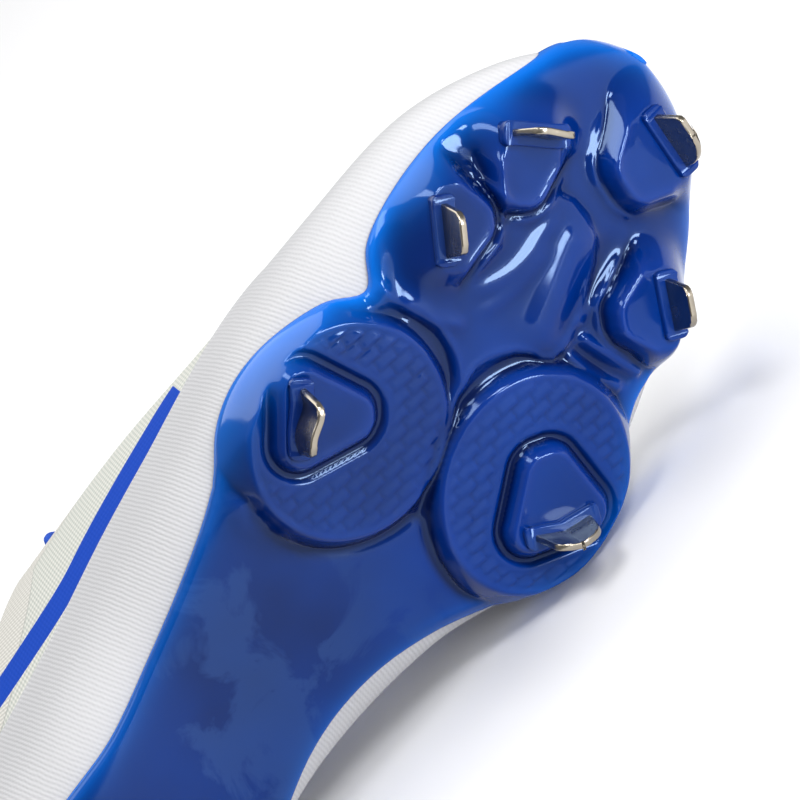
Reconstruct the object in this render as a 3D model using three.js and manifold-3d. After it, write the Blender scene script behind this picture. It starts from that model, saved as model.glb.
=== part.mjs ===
// Right baseball cleat with metal spikes, lying on its inner side.
// The shoe is drawn in its own frame, in millimetres: X to the outer (lateral) side, Y from heel to toe,
// Z from the ground up, with the heel's back at Y 0. The last lines roll it onto its side.
import * as THREE from "three";
import { mergeVertices } from "three/addons/utils/BufferGeometryUtils.js";
import Module from "manifold-3d";

const wasm = await Module();
wasm.setup();

// Driving sizes, in mm
const shoeLength = 291;
const ballWidth = 106;
const instepHeight = 112;
const wall = 2; // upper's wall
const quarterStep = 0.8; // the quarter lies this much below the rand around the foot
const fitGap = 0.3; // between pieces that touch
const collarPad = 4; // padding added inside the collar
const plateThickness = 2.4;
const insoleThickness = 4;
const tongueThickness = 3;
const laceRadius = 1.5;
const eyeletRadius = 2;
const eyeletPairs = 6;

// Sole sizes, in mm
const podRise = 2.6; // round forefoot pods below the plate
const moatWidth = 1.8; // groove between a pod and the mount that stands in it
const moatDepth = 1.8;
const mountRise = 6.5; // spike mounts below the plate
const heelMountRise = 8.5;
const hillReach = 14; // how far a mount or a pod reaches up into the plate
const edgeDraft = 5; // how far the mounts' sides lean in at the plate's edge
const webRise = 1.4; // middle of the forefoot below the plate
const ribRise = 1.6;
const socketRise = 1.6; // bar around a spike's root
const socketMargin = 2.2;
const spikeThickness = 2.2;
const spikeRoot = 3.5; // spike inside its socket
const spikeTaper = 1.6; // each side, from root to tip
const spikeCorner = 2.4;

// Sections at equal steps of a half turn from heel to toe, so that both ends come out round.
// medial, lateral and ridge are shares of ballWidth; bed, widest and crown are shares of instepHeight.
// roof is the exponent of the curve over the foot: 2 is an ellipse, more is boxier.
const sections = [
  { medial: 0, lateral: 0, ridge: 0, bed: 0.125, widest: 0.268, crown: 1.16, roof: 2.6 },
  { medial: -0.16, lateral: 0.16, ridge: 0, bed: 0.054, widest: 0.232, crown: 1.16, roof: 2.6 },
  { medial: -0.274, lateral: 0.278, ridge: 0, bed: 0.029, widest: 0.214, crown: 1.16, roof: 2.6 },
  { medial: -0.321, lateral: 0.321, ridge: 0, bed: 0.027, widest: 0.214, crown: 1.16, roof: 2.6 },
  { medial: -0.322, lateral: 0.335, ridge: 0.01, bed: 0.045, widest: 0.25, crown: 1.14, roof: 2.5 },
  { medial: -0.33, lateral: 0.362, ridge: 0.035, bed: 0.098, widest: 0.268, crown: 0.98, roof: 2.45 },
  { medial: -0.385, lateral: 0.405, ridge: 0, bed: 0.06, widest: 0.214, crown: 0.82, roof: 2.35 },
  { medial: -0.55, lateral: 0.45, ridge: -0.035, bed: 0.027, widest: 0.185, crown: 0.6, roof: 1.8 },
  { medial: -0.485, lateral: 0.45, ridge: -0.05, bed: 0.031, widest: 0.16, crown: 0.47, roof: 1.9 },
  { medial: -0.4, lateral: 0.355, ridge: -0.055, bed: 0.069, widest: 0.155, crown: 0.395, roof: 2 },
  { medial: -0.285, lateral: 0.222, ridge: -0.045, bed: 0.12, widest: 0.17, crown: 0.355, roof: 1.8 },
  { medial: -0.15, lateral: 0.092, ridge: -0.03, bed: 0.162, widest: 0.195, crown: 0.295, roof: 1.8 },
  { medial: -0.02, lateral: -0.02, ridge: -0.02, bed: 0.185, widest: 0.21, crown: 0.25, roof: 2 },
];
const bedRound = 3; // exponent of the curve under the foot
const rows = 28; // steps from heel to toe
const ring = 20; // steps around a section
const endShare = 0.25; // the round ends take this share of the steps

// Value of a column of the sections, at t from 0 (heel) to 1 (toe).
function column(name, t) {
  const last = sections.length - 1;
  const at = Math.min(Math.max(t, 0), 1) * last;
  const i = Math.min(Math.floor(at), last - 1);
  const f = at - i;
  const v = [-1, 0, 1, 2].map((k) => sections[Math.min(Math.max(i + k, 0), last)][name]);
  const bend = 2 * v[0] - 5 * v[1] + 4 * v[2] - v[3];
  const twist = 3 * (v[1] - v[2]) + v[3] - v[0];
  return v[1] + 0.5 * f * (v[2] - v[0] + f * (bend + f * twist));
}

const alongOf = (t) => (shoeLength * (1 - Math.cos(Math.PI * t))) / 2;
const stepOf = (y) => Math.acos(1 - (2 * Math.min(Math.max(y, 0), shoeLength)) / shoeLength) / Math.PI;

// How square the surface stands to the side (1) or to the end (0) at step t.
function sideShare(t) {
  return Math.sin((Math.PI / 2) * Math.min(t, 1 - t, endShare) / endShare);
}

const heelFade = 0.3 * shoeLength;
const heelBulge = 0.2 * instepHeight; // height where the heel reaches furthest back
const heelLean = 0.08 * instepHeight; // how far the collar leans forward over the bulge
const heelTuck = 0.045 * instepHeight; // how far the heel's foot tucks in under the bulge

// Leans the back of the heel forward above its bulge and tucks it in below.
function heelShift(y, z) {
  const fade = Math.max(0, 1 - y / heelFade) ** 2;
  const rise = (z - heelBulge) / instepHeight;
  const reach = rise > 0 ? heelLean * (rise / 0.55) ** 2 : heelTuck * (rise / 0.2) ** 2;
  return fade * reach;
}

// Point of the shoe's surface at step t and angle a, moved out by grow: a is 0 at the lateral side,
// a quarter turn at the crown, half a turn at the medial side and three quarters under the foot.
function surface(t, a, grow = 0) {
  const side = sideShare(t);
  const out = grow * side;
  const lateral = column("lateral", t) * ballWidth + out;
  const medial = column("medial", t) * ballWidth - out;
  const widest = column("widest", t) * instepHeight;
  const over = Math.sin(a) >= 0;
  const middle = over ? column("ridge", t) * ballWidth : (lateral + medial) / 2;
  const power = 2 / (over ? column("roof", t) : bedRound);
  const c = Math.abs(Math.cos(a)) < 1e-9 ? 0 : Math.abs(Math.cos(a)) ** power;
  const s = Math.abs(Math.sin(a)) < 1e-9 ? 0 : Math.abs(Math.sin(a)) ** power;
  const edge = Math.cos(a) >= 0 ? lateral : medial;
  const x = middle + (edge - middle) * c;
  const reach = over
    ? column("crown", t) * instepHeight + out - widest
    : column("bed", t) * instepHeight - out - widest;
  const z = widest + reach * s;
  const endward = Math.sqrt(1 - side * side) * (t < 0.5 ? -grow : grow);
  const y = alongOf(t) + endward;
  return new THREE.Vector3(x, y + heelShift(y, z), z);
}

// Height of the underside, moved out by grow, at a place in plan.
function under(x, y, grow) {
  const t = stepOf(y);
  const lateral = column("lateral", t) * ballWidth + grow;
  const medial = column("medial", t) * ballWidth - grow;
  const middle = (lateral + medial) / 2;
  const widest = column("widest", t) * instepHeight;
  const bed = column("bed", t) * instepHeight - grow;
  const share = Math.min(1, Math.abs((x - middle) / (lateral - middle)));
  return widest - (widest - bed) * (1 - share ** bedRound) ** (1 / bedRound);
}

// Height of the top of the upper at a place in plan, moved out by grow.
function above(x, y, grow) {
  const t = stepOf(y);
  const middle = column("ridge", t) * ballWidth;
  const edge = x > middle
    ? column("lateral", t) * ballWidth + grow
    : column("medial", t) * ballWidth - grow;
  const widest = column("widest", t) * instepHeight;
  const crown = column("crown", t) * instepHeight + grow;
  const share = Math.min(1, Math.abs((x - middle) / (edge - middle)));
  const roof = column("roof", t);
  return widest + (crown - widest) * (1 - share ** roof) ** (1 / roof);
}

// A three.js geometry as a solid.
function solid(geometry) {
  const bare = geometry.index ? geometry.toNonIndexed() : geometry.clone();
  const points = new THREE.BufferGeometry().setAttribute("position", bare.getAttribute("position"));
  const merged = mergeVertices(points, 1e-4);
  const mesh = new wasm.Mesh({
    numProp: 3,
    vertProperties: merged.getAttribute("position").array,
    triVerts: new Uint32Array(merged.index.array),
  });
  return new wasm.Manifold(mesh);
}

// A solid as a three.js geometry.
function geometryOf(body) {
  const mesh = body.getMesh();
  const geometry = new THREE.BufferGeometry();
  geometry.setAttribute("position", new THREE.BufferAttribute(mesh.vertProperties.slice(), 3));
  geometry.setIndex(new THREE.BufferAttribute(mesh.triVerts.slice(), 1));
  geometry.computeVertexNormals();
  return geometry;
}

// Closed skin over rings of points whose first and last rings are folded flat.
function skin(rings) {
  const count = rings[0].length;
  const position = rings.flat().flatMap((p) => [p.x, p.y, p.z]);
  const index = [];
  for (let i = 0; i + 1 < rings.length; i++) {
    for (let j = 0; j < count; j++) {
      const k = (j + 1) % count;
      const a = i * count + j;
      const b = (i + 1) * count + j;
      const c = (i + 1) * count + k;
      const d = i * count + k;
      index.push(a, b, c, a, c, d);
    }
  }
  const geometry = new THREE.BufferGeometry();
  geometry.setAttribute("position", new THREE.Float32BufferAttribute(position, 3));
  geometry.setIndex(index);
  return solid(geometry);
}

// Whole body inside the surface moved out by grow, a number or a function of the step and the angle.
function lastBody(grow) {
  const rings = [];
  for (let i = 0; i <= rows; i++) {
    const t = i / rows;
    const points = [];
    for (let j = 0; j < ring; j++) {
      const a = (2 * Math.PI * j) / ring;
      points.push(surface(t, a, typeof grow === "function" ? grow(t, a) : grow));
    }
    rings.push(points);
  }
  return skin(rings);
}

// The part of that body below its widest line.
function lowerBody(grow) {
  const rings = [];
  for (let i = 0; i <= rows; i++) {
    const points = [];
    for (let j = ring / 2; j <= ring; j++) points.push(surface(i / rows, (2 * Math.PI * j) / ring, grow));
    rings.push(points);
  }
  return skin(rings);
}

// Smooth closed or open line through points given as pairs.
function smoothLine(pairs, closed, count) {
  const points = pairs.map(([u, v]) => new THREE.Vector3(u, v, 0));
  const curve = new THREE.CatmullRomCurve3(points, closed, "centripetal");
  return curve.getPoints(count).map((p) => new THREE.Vector2(p.x, p.y));
}

// Straight prism over an outline in plan, from low to high.
function planPrism(outline, low, high) {
  const geometry = new THREE.ExtrudeGeometry(new THREE.Shape(outline), {
    depth: high - low,
    bevelEnabled: false,
  });
  return solid(geometry.translate(0, 0, low));
}

// Prism across the shoe over an outline in the side view, given as Y and Z.
function sidePrism(outline) {
  const reach = 2 * ballWidth;
  const geometry = new THREE.ExtrudeGeometry(new THREE.Shape(outline), {
    depth: reach,
    bevelEnabled: false,
  });
  const turn = new THREE.Matrix4().makeBasis(
    new THREE.Vector3(0, 1, 0),
    new THREE.Vector3(0, 0, 1),
    new THREE.Vector3(1, 0, 0),
  );
  return solid(geometry.applyMatrix4(turn).translate(-reach / 2, 0, 0));
}

// Plate's outline in plan, lateral side from heel to toe and back along the medial side:
// across as a share of ballWidth, along as a share of shoeLength.
const plateOutline = [
  [0, 0.01], [0.1, 0.022], [0.2, 0.062], [0.252, 0.125], [0.25, 0.19], [0.238, 0.245],
  [0.222, 0.302], [0.245, 0.385], [0.3, 0.469], [0.345, 0.518], [0.401, 0.556], [0.426, 0.598],
  [0.418, 0.644], [0.368, 0.693], [0.305, 0.718], [0.358, 0.748], [0.368, 0.8], [0.34, 0.853],
  [0.262, 0.93], [0.15, 0.99], [-0.03, 1.06], [-0.25, 1.04], [-0.4, 0.96], [-0.45, 0.915],
  [-0.47, 0.862], [-0.455, 0.82], [-0.425, 0.772], [-0.452, 0.74], [-0.5, 0.711], [-0.528, 0.668],
  [-0.521, 0.618], [-0.443, 0.57], [-0.33, 0.516], [-0.262, 0.467], [-0.235, 0.416], [-0.238, 0.366],
  [-0.266, 0.305], [-0.282, 0.239], [-0.278, 0.17], [-0.252, 0.105], [-0.2, 0.056], [-0.1, 0.02],
];

// Round pods under the ball of the foot: centre and half sizes, and the way that the long one points.
const pods = [
  { across: 0.183, along: 0.614, halfLong: 27, halfShort: 25.2, heading: 70 },
  { across: -0.283, along: 0.66, halfLong: 28, halfShort: 24.5, heading: 70 },
];

// Raised middle of the forefoot, between the pods and the toe.
const web = [
  [-0.055, 0.622], [-0.006, 0.668], [0.017, 0.693], [0.061, 0.712], [0.126, 0.723], [0.24, 0.727],
  [0.17, 0.765], [0.12, 0.82], [0.03, 0.872], [-0.1, 0.86], [-0.17, 0.79], [-0.16, 0.755],
  [-0.068, 0.743], [-0.003, 0.714], [-0.012, 0.685], [-0.045, 0.645],
];

// Ribs under the forefoot, from one end to the other.
const ribs = [
  { from: [-0.215, 0.784], to: [-0.385, 0.788], width: 3.2 },
  { from: [-0.205, 0.768], to: [-0.36, 0.767], width: 3.2 },
  { from: [0.31, 0.73], to: [0.17, 0.735], width: 3.4 },
];

// Spike mounts: where the spike stands and the way its blade runs, how deep the mount's face is beside
// it, where that face's point lies along the blade and its half width, how far the mount's foot spreads,
// the blade's length, how far it drops, and its bend: a kink or a wave.
const mounts = [
  { name: "toe_lateral", across: 0.175, along: 0.9, heading: 152, depth: 17, lean: -2,
    tip: 2, foot: 5, blade: 14, drop: 9.5, kink: 0, wave: 0.5 },
  { name: "toe_medial", across: -0.138, along: 0.96, heading: 202, depth: 20, lean: 3,
    tip: 4, foot: 4.5, blade: 15, drop: 9.5, kink: 0, wave: 0 },
  { name: "fore_lateral", across: 0.262, along: 0.793, heading: 51, depth: 14, lean: -3,
    tip: 2, foot: 4, blade: 13, drop: 9.5, kink: 0, wave: 0 },
  { name: "fore_medial", across: -0.326, along: 0.846, heading: 226, depth: 16, lean: -1,
    tip: 2, foot: 3, blade: 13, drop: 9.5, kink: 0, wave: 0 },
  { name: "ball_lateral", across: 0.314, along: 0.602, heading: 55, depth: 19, lean: 0,
    tip: 2, foot: 2, blade: 15.5, drop: 11, kink: 0, wave: 1 },
  { name: "ball_medial", across: -0.377, along: 0.642, heading: 310, depth: 21, lean: 2,
    tip: 3, foot: 2, blade: 15.5, drop: 11, kink: -1.6, wave: 0 },
  { name: "heel_lateral", across: 0.16, along: 0.17, heading: 70, depth: 15, lean: 0,
    tip: 3, foot: 5, blade: 15, drop: 11, kink: 0, wave: 0 },
  { name: "heel_medial", across: -0.17, along: 0.17, heading: 290, depth: 15, lean: 0,
    tip: 3, foot: 5, blade: 15, drop: 11, kink: 0, wave: 0 },
  { name: "heel_rear", across: 0, along: 0.06, heading: 0, depth: 14, lean: 0,
    tip: 3, foot: 5, blade: 15, drop: 11, kink: 0, wave: 0 },
];
for (const mount of mounts) {
  mount.rise = mount.name.startsWith("heel") ? heelMountRise : mountRise;
}

// Frame of a mount: X along the blade, Y to the point of its face, Z up into the shoe.
function mountFrame(mount) {
  const y = mount.along * shoeLength;
  const x = mount.across * ballWidth;
  const grow = fitGap + plateThickness;
  const probe = 0.03 * shoeLength;
  const slope = Math.atan2(under(0, y + probe, grow) - under(0, y - probe, grow), 2 * probe);
  const spring = mount.along > 0.7 ? slope : 0;
  const base = under(x * 0.6, y, grow) - mount.rise;
  const turn = new THREE.Matrix4().makeRotationZ(THREE.MathUtils.degToRad(mount.heading));
  const tip = new THREE.Matrix4().makeRotationX(spring);
  return new THREE.Matrix4().makeTranslation(x, y, base).multiply(tip).multiply(turn);
}

// Sideways place of the blade's middle at u along it.
function bladeBend(mount, u) {
  const share = (2 * u) / mount.blade;
  return mount.kink * (1 - Math.abs(share)) + mount.wave * Math.sin(Math.PI * share);
}

const faceCorner = 5.5; // radius of a mount's corners
const cornerSteps = 3;
const faceBack = 4.5; // from the blade to the back of the mount's face

// Rounded triangle beside a blade, spread out by margin.
function mountOutline(mount, margin) {
  const half = mount.blade / 2 + 3;
  const corner = faceCorner + margin;
  const back = faceCorner - faceBack;
  const corners = [
    [faceCorner - half, back],
    [half - faceCorner, back],
    [mount.lean + mount.tip, mount.depth - faceCorner],
    [mount.lean - mount.tip, mount.depth - faceCorner],
  ];
  const points = [];
  corners.forEach(([u, v], i) => {
    const before = corners[(i + 3) % 4];
    const after = corners[(i + 1) % 4];
    const from = Math.atan2(v - before[1], u - before[0]) - Math.PI / 2;
    let to = Math.atan2(after[1] - v, after[0] - u) - Math.PI / 2;
    if (to < from) to += 2 * Math.PI;
    for (let k = 0; k <= cornerSteps; k++) {
      const a = from + ((to - from) * k) / cornerSteps;
      points.push(new THREE.Vector2(u + corner * Math.cos(a), v + corner * Math.sin(a)));
    }
  });
  return points;
}

// Body between outlines of equal count, given with their heights from the lowest up.
function stackedBody(levels) {
  const count = levels[0].outline.length;
  const rings = levels.map(({ outline, z }) => outline.map((p) => new THREE.Vector3(p.x, p.y, z)));
  const position = rings.flat().flatMap((p) => [p.x, p.y, p.z]);
  const index = [];
  for (let i = 0; i + 1 < rings.length; i++) {
    for (let j = 0; j < count; j++) {
      const k = (j + 1) % count;
      const [a, b, c, d] = [i * count + j, i * count + k, (i + 1) * count + k, (i + 1) * count + j];
      index.push(a, b, c, a, c, d);
    }
  }
  const top = (rings.length - 1) * count;
  for (const [p, q, r] of THREE.ShapeUtils.triangulateShape(levels[0].outline, [])) index.push(r, q, p);
  for (const [p, q, r] of THREE.ShapeUtils.triangulateShape(levels.at(-1).outline, [])) {
    index.push(top + p, top + q, top + r);
  }
  const geometry = new THREE.BufferGeometry();
  geometry.setAttribute("position", new THREE.Float32BufferAttribute(position, 3));
  geometry.setIndex(index);
  return geometry;
}

// A mount's hill under the plate.
function mountBody(mount) {
  const lip = 0.9;
  const levels = [
    { outline: mountOutline(mount, -lip), z: 0 },
    { outline: mountOutline(mount, 0), z: lip },
    { outline: mountOutline(mount, mount.foot), z: mount.rise },
    { outline: mountOutline(mount, mount.foot), z: mount.rise + hillReach },
  ];
  return solid(stackedBody(levels).applyMatrix4(mountFrame(mount)));
}

// Plan outline that follows a blade's bend, half a width to each side, with round ends.
function barOutline(mount, length, width, round) {
  const stations = [-1, -0.5, 0, 0.5, 1];
  const half = length / 2 - round;
  const side = (s) => stations.map((k) => new THREE.Vector2(k * half, bladeBend(mount, k * half) + (s * width) / 2));
  const near = side(-1);
  const far = side(1).reverse();
  if (round === 0) return [...near, ...far];
  const right = new THREE.Vector2(length / 2, bladeBend(mount, half));
  const left = new THREE.Vector2(-length / 2, bladeBend(mount, -half));
  return [...near, right, ...far, left];
}

// Bar around the spike's root.
function socketBody(mount) {
  const length = mount.blade + 2 * socketMargin;
  const width = spikeThickness + 2 * socketMargin;
  const outline = barOutline(mount, length, width, socketMargin / 1.5);
  const levels = [
    { outline, z: -socketRise },
    { outline, z: spikeRoot },
  ];
  return solid(stackedBody(levels).applyMatrix4(mountFrame(mount)));
}

// Spike: a flat blade with round corners, bent to its line.
function spikeGeometry(mount) {
  const tip = -socketRise - mount.drop;
  const narrow = mount.blade - 2 * spikeTaper;
  const blade = (length, z) => ({ outline: barOutline(mount, length, spikeThickness, 0), z });
  return stackedBody([
    blade(narrow - 1.6 * spikeCorner, tip),
    blade(narrow - 0.5 * spikeCorner, tip + 0.3 * spikeCorner),
    blade(narrow, tip + spikeCorner),
    blade(mount.blade, -socketRise),
    blade(mount.blade, -socketRise + spikeRoot),
  ]);
}

// Slot for the spike's root.
function slotBody(mount) {
  const outline = barOutline(mount, mount.blade + 2 * fitGap, spikeThickness + 2 * fitGap, 0);
  const levels = [
    { outline, z: -socketRise - 1 },
    { outline, z: -socketRise + spikeRoot + fitGap },
  ];
  return solid(stackedBody(levels).applyMatrix4(mountFrame(mount)));
}

// Outline of a pod in plan, spread out by margin.
function podOutline(pod, margin) {
  const heading = THREE.MathUtils.degToRad(pod.heading);
  const curve = new THREE.EllipseCurve(
    pod.across * ballWidth,
    pod.along * shoeLength,
    pod.halfLong + margin,
    pod.halfShort + margin,
    0,
    2 * Math.PI,
    false,
    heading,
  );
  return curve.getPoints(22).slice(0, 22);
}

function podBody(pod) {
  const grow = fitGap + plateThickness;
  const face = under(pod.across * ballWidth * 0.5, pod.along * shoeLength, grow) - podRise;
  const levels = [
    { outline: podOutline(pod, -1), z: face },
    { outline: podOutline(pod, 0), z: face + 0.8 },
    { outline: podOutline(pod, 1.6), z: face + podRise },
    { outline: podOutline(pod, 1.6), z: face + podRise + hillReach },
  ];
  return solid(stackedBody(levels));
}

// Groove in a pod's face around its mount.
function moatBody(mount) {
  const height = mount.rise - podRise;
  const share = mount.foot / mount.rise;
  const levels = [
    { outline: mountOutline(mount, share * height + moatWidth + 1), z: height - 2 },
    { outline: mountOutline(mount, share * height + moatWidth), z: height + moatDepth },
  ];
  return solid(stackedBody(levels).applyMatrix4(mountFrame(mount)));
}

function sum(bodies) {
  return bodies.reduce((all, next) => all.add(next));
}

// Raised web between the pods.
function webBody() {
  const grow = fitGap + plateThickness + webRise;
  const line = smoothLine(web.map(([u, v]) => [u * ballWidth, v * shoeLength]), true, 30).slice(0, 30);
  return planPrism(line, -20, 0.4 * instepHeight).intersect(lowerBody(grow));
}

function ribBody(rib) {
  const from = new THREE.Vector2(rib.from[0] * ballWidth, rib.from[1] * shoeLength);
  const to = new THREE.Vector2(rib.to[0] * ballWidth, rib.to[1] * shoeLength);
  const turn = Math.atan2(to.y - from.y, to.x - from.x);
  const shape = new THREE.Shape();
  shape.absarc(from.x, from.y, rib.width / 2, turn + Math.PI / 2, turn + 1.5 * Math.PI, false);
  shape.absarc(to.x, to.y, rib.width / 2, turn - Math.PI / 2, turn + Math.PI / 2, false);
  const outline = shape.getPoints(4);
  return planPrism(outline, -20, 0.4 * instepHeight).intersect(lowerBody(fitGap + plateThickness + ribRise));
}

// Room inside the plate's outline: straight beside the foot, and leaning in below the plate.
function plateRoom() {
  const scaled = plateOutline.map(([u, v]) => [u * ballWidth, v * shoeLength]);
  const count = 68;
  const outline = smoothLine(scaled, true, count).slice(0, count);
  const grow = fitGap + plateThickness;
  const drop = heelMountRise + podRise;
  const heelFloor = 0.07 * shoeLength;
  const ground = outline.map((p) => column("bed", stepOf(Math.max(p.y, heelFloor))) * instepHeight - grow);
  const inset = outline.map((p, i) => {
    const along = outline[(i + 1) % count].clone().sub(outline[(i + count - 1) % count]).normalize();
    return new THREE.Vector2(p.x - edgeDraft * along.y, p.y + edgeDraft * along.x);
  });
  const levels = [
    { outline: inset, z: 0 },
    { outline, z: 0 },
    { outline, z: instepHeight },
  ];
  const geometry = stackedBody(levels);
  const position = geometry.getAttribute("position");
  ground.forEach((z, i) => {
    position.setZ(i, z - drop);
    position.setZ(count + i, z - 0.5);
  });
  return solid(geometry);
}

// Room under the shoe's widest line, as a side view prism.
function lowRoom() {
  const last = sections.length - 1;
  const line = sections.map((row, i) => new THREE.Vector2(alongOf(i / last), row.widest * instepHeight));
  const back = -0.2 * shoeLength;
  const front = 1.2 * shoeLength;
  line.unshift(new THREE.Vector2(back, line[0].y));
  line.push(new THREE.Vector2(front, line.at(-1).y));
  return sidePrism([new THREE.Vector2(back, -instepHeight), ...line, new THREE.Vector2(front, -instepHeight)]);
}

function makePlate() {
  const base = lowerBody(fitGap + plateThickness);
  const faces = sum(pods.map(podBody));
  const grooves = sum(mounts.filter((mount) => mount.name.startsWith("ball")).map(moatBody));
  const hills = sum(mounts.map(mountBody)).intersect(lowRoom());
  const bars = sum(mounts.map(socketBody));
  const relief = sum([webBody(), ...ribs.map(ribBody)]);
  const whole = faces.subtract(grooves).add(base).add(relief).add(hills).intersect(plateRoom()).add(bars);
  return whole.subtract(lastBody(fitGap)).subtract(sum(mounts.map(slotBody)));
}

// Topline in the side view, from behind the heel to above the throat.
const topline = [
  [-0.06, 0.77], [0.01, 0.75], [0.05, 0.69], [0.1, 0.6], [0.15, 0.56], [0.205, 0.58],
  [0.26, 0.66], [0.305, 0.76], [0.345, 0.87], [0.385, 1.08],
].map(([u, v]) => [u * shoeLength, v * instepHeight]);

// Rand's upper edge in the side view: higher at the toe and the heel, lower along the waist.
const randEdge = [
  [-0.05, 0.4], [0.05, 0.4], [0.15, 0.36], [0.3, 0.36], [0.42, 0.37], [0.52, 0.34], [0.62, 0.32],
  [0.72, 0.34], [0.82, 0.42], [0.88, 0.5],
].map(([u, v]) => [u * shoeLength, v * instepHeight]);

const throatTop = 0.35 * shoeLength;
const throatEnd = 0.69 * shoeLength;
const throatTopHalf = 19; // half width of the throat at its top, in mm
const throatEndHalf = 7;

const throatHalf = (y) => {
  const share = Math.min(1, Math.max(0, (y - throatTop) / (throatEnd - throatTop)));
  return throatTopHalf + (throatEndHalf - throatTopHalf) * share;
};
const ridgeAt = (y) => column("ridge", stepOf(y)) * ballWidth;

// Slot in plan along the ridge, from past the topline to its round end, moved out by margin.
function throatOutline(margin) {
  const from = throatTop - 0.12 * shoeLength;
  const right = [];
  const left = [];
  for (let k = 0; k <= 6; k++) {
    const y = from + ((throatEnd - throatEndHalf - from) * k) / 6;
    right.push(new THREE.Vector2(ridgeAt(y) + throatHalf(y) + margin, y));
    left.unshift(new THREE.Vector2(ridgeAt(y) - throatHalf(y) - margin, y));
  }
  const bend = [];
  const middle = ridgeAt(throatEnd - throatEndHalf);
  const radius = throatHalf(throatEnd - throatEndHalf) + margin;
  for (let k = 1; k < 6; k++) {
    const a = (Math.PI * k) / 6;
    const y = throatEnd - throatEndHalf + radius * Math.sin(a);
    bend.push(new THREE.Vector2(middle + radius * Math.cos(a), y));
  }
  return [...right, ...bend, ...left];
}

// Wall of the upper at step t and angle a, thicker inside the collar.
function upperWall(t, a) {
  const collarEnd = 0.3 * shoeLength;
  const fade = Math.min(1, Math.max(0, (collarEnd - alongOf(t)) / (0.1 * shoeLength)));
  const height = Math.max(0, Math.sin(a));
  const swell = Math.min(1, Math.max(0, (height - 0.15) / 0.25));
  return wall + collarPad * fade * swell * swell * (3 - 2 * swell);
}

const eyeletInset = 6;
const eyeletPlaces = Array.from({ length: eyeletPairs }, (_, k) => {
  const first = throatTop + 0.035 * shoeLength;
  const last = throatEnd - 0.06 * shoeLength;
  return first + ((last - first) * k) / (eyeletPairs - 1);
});

// Where an eyelet meets the quarter's surface: side is 1 lateral, -1 medial.
function eyeletPoint(y, side) {
  const x = ridgeAt(y) + side * (throatHalf(y) + eyeletInset);
  return new THREE.Vector3(x, y, above(x, y, -quarterStep));
}

function eyeletBody(y, side) {
  const at = eyeletPoint(y, side);
  const probe = 1;
  const slopeX = (above(at.x + probe, y, 0) - above(at.x - probe, y, 0)) / (2 * probe);
  const slopeY = (above(at.x, y + probe, 0) - above(at.x, y - probe, 0)) / (2 * probe);
  const normal = new THREE.Vector3(-slopeX, -slopeY, 1).normalize();
  const geometry = new THREE.CylinderGeometry(eyeletRadius, eyeletRadius, 6 * wall, 6);
  const turn = new THREE.Quaternion().setFromUnitVectors(new THREE.Vector3(0, 1, 0), normal);
  return solid(geometry.applyQuaternion(turn).translate(at.x, at.y, at.z));
}

// Opening under the foot that the plate closes.
function bedOpening() {
  const share = 0.5;
  const from = 0.055 * shoeLength;
  const to = 0.93 * shoeLength;
  const right = [];
  const left = [];
  for (let k = 0; k <= 16; k++) {
    const y = from + ((to - from) * k) / 16;
    const t = stepOf(y);
    right.push(new THREE.Vector2(column("lateral", t) * ballWidth * share, y));
    left.unshift(new THREE.Vector2(column("medial", t) * ballWidth * share, y));
  }
  return planPrism([...right, ...left], -20, 0.24 * instepHeight);
}

function makeUpper() {
  const high = 2 * instepHeight;
  const edge = smoothLine(randEdge, false, 24);
  const below = [...edge, new THREE.Vector2(1.2 * shoeLength, 0.6 * instepHeight)];
  below.push(new THREE.Vector2(1.2 * shoeLength, -40), new THREE.Vector2(-20, -40));
  const rand = lastBody(0).intersect(sidePrism(below));
  const line = smoothLine(topline, false, 28);
  const over = [...line, new THREE.Vector2(0.4 * shoeLength, high), new THREE.Vector2(-40, high)];
  const holes = eyeletPlaces.flatMap((y) => [eyeletBody(y, 1), eyeletBody(y, -1)]);
  return lastBody(-quarterStep)
    .add(rand)
    .subtract(lastBody((t, a) => -quarterStep - upperWall(t, a)))
    .subtract(sidePrism(over))
    .subtract(planPrism(throatOutline(0), 0.36 * instepHeight, high))
    .subtract(bedOpening())
    .subtract(sum(holes));
}

const innerGrow = -quarterStep - wall - fitGap; // just inside the upper's plain wall
const laceLift = laceRadius + fitGap; // from the rand's surface to a lace's middle

const tongueTop = 0.24 * shoeLength;
const tongueEnd = throatEnd + 0.035 * shoeLength;
const tongueSpread = 9; // how far the tongue reaches under the eyestay
const tongueEase = 0.1; // play under the eyestay, beside the gap
const tongueSink = 1.1; // depth of the tongue's padded middle below the rand's surface

// The tongue's upper end in the side view.
const tongueCut = [
  [0.375, 0.6], [0.335, 0.78], [0.312, 0.93], [0.304, 1.02], [0.312, 1.07], [0.335, 1.14],
  [0.4, 1.3], [0.9, 1.3], [0.9, 0.2], [0.375, 0.2],
].map(([u, v]) => new THREE.Vector2(u * shoeLength, v * instepHeight));

function makeTongue() {
  const right = [];
  const left = [];
  for (let k = 0; k <= 10; k++) {
    const y = tongueTop + ((tongueEnd - tongueTop) * k) / 10;
    const trim = k === 10 ? 5 : 0;
    const half = throatHalf(y) + tongueSpread - trim;
    right.push(new THREE.Vector2(ridgeAt(y) + half, y));
    left.unshift(new THREE.Vector2(ridgeAt(y) - half, y));
  }
  const low = 0.3 * instepHeight;
  const zone = planPrism([...right, ...left], low, 2 * instepHeight);
  const flap = lastBody(innerGrow - tongueEase).intersect(zone);
  const pad = lastBody(-tongueSink).intersect(planPrism(throatOutline(-2 * fitGap), low, 2 * instepHeight));
  const inside = lastBody(innerGrow - tongueEase - tongueThickness);
  return flap.add(pad.intersect(zone)).subtract(inside).intersect(sidePrism(tongueCut));
}

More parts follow.
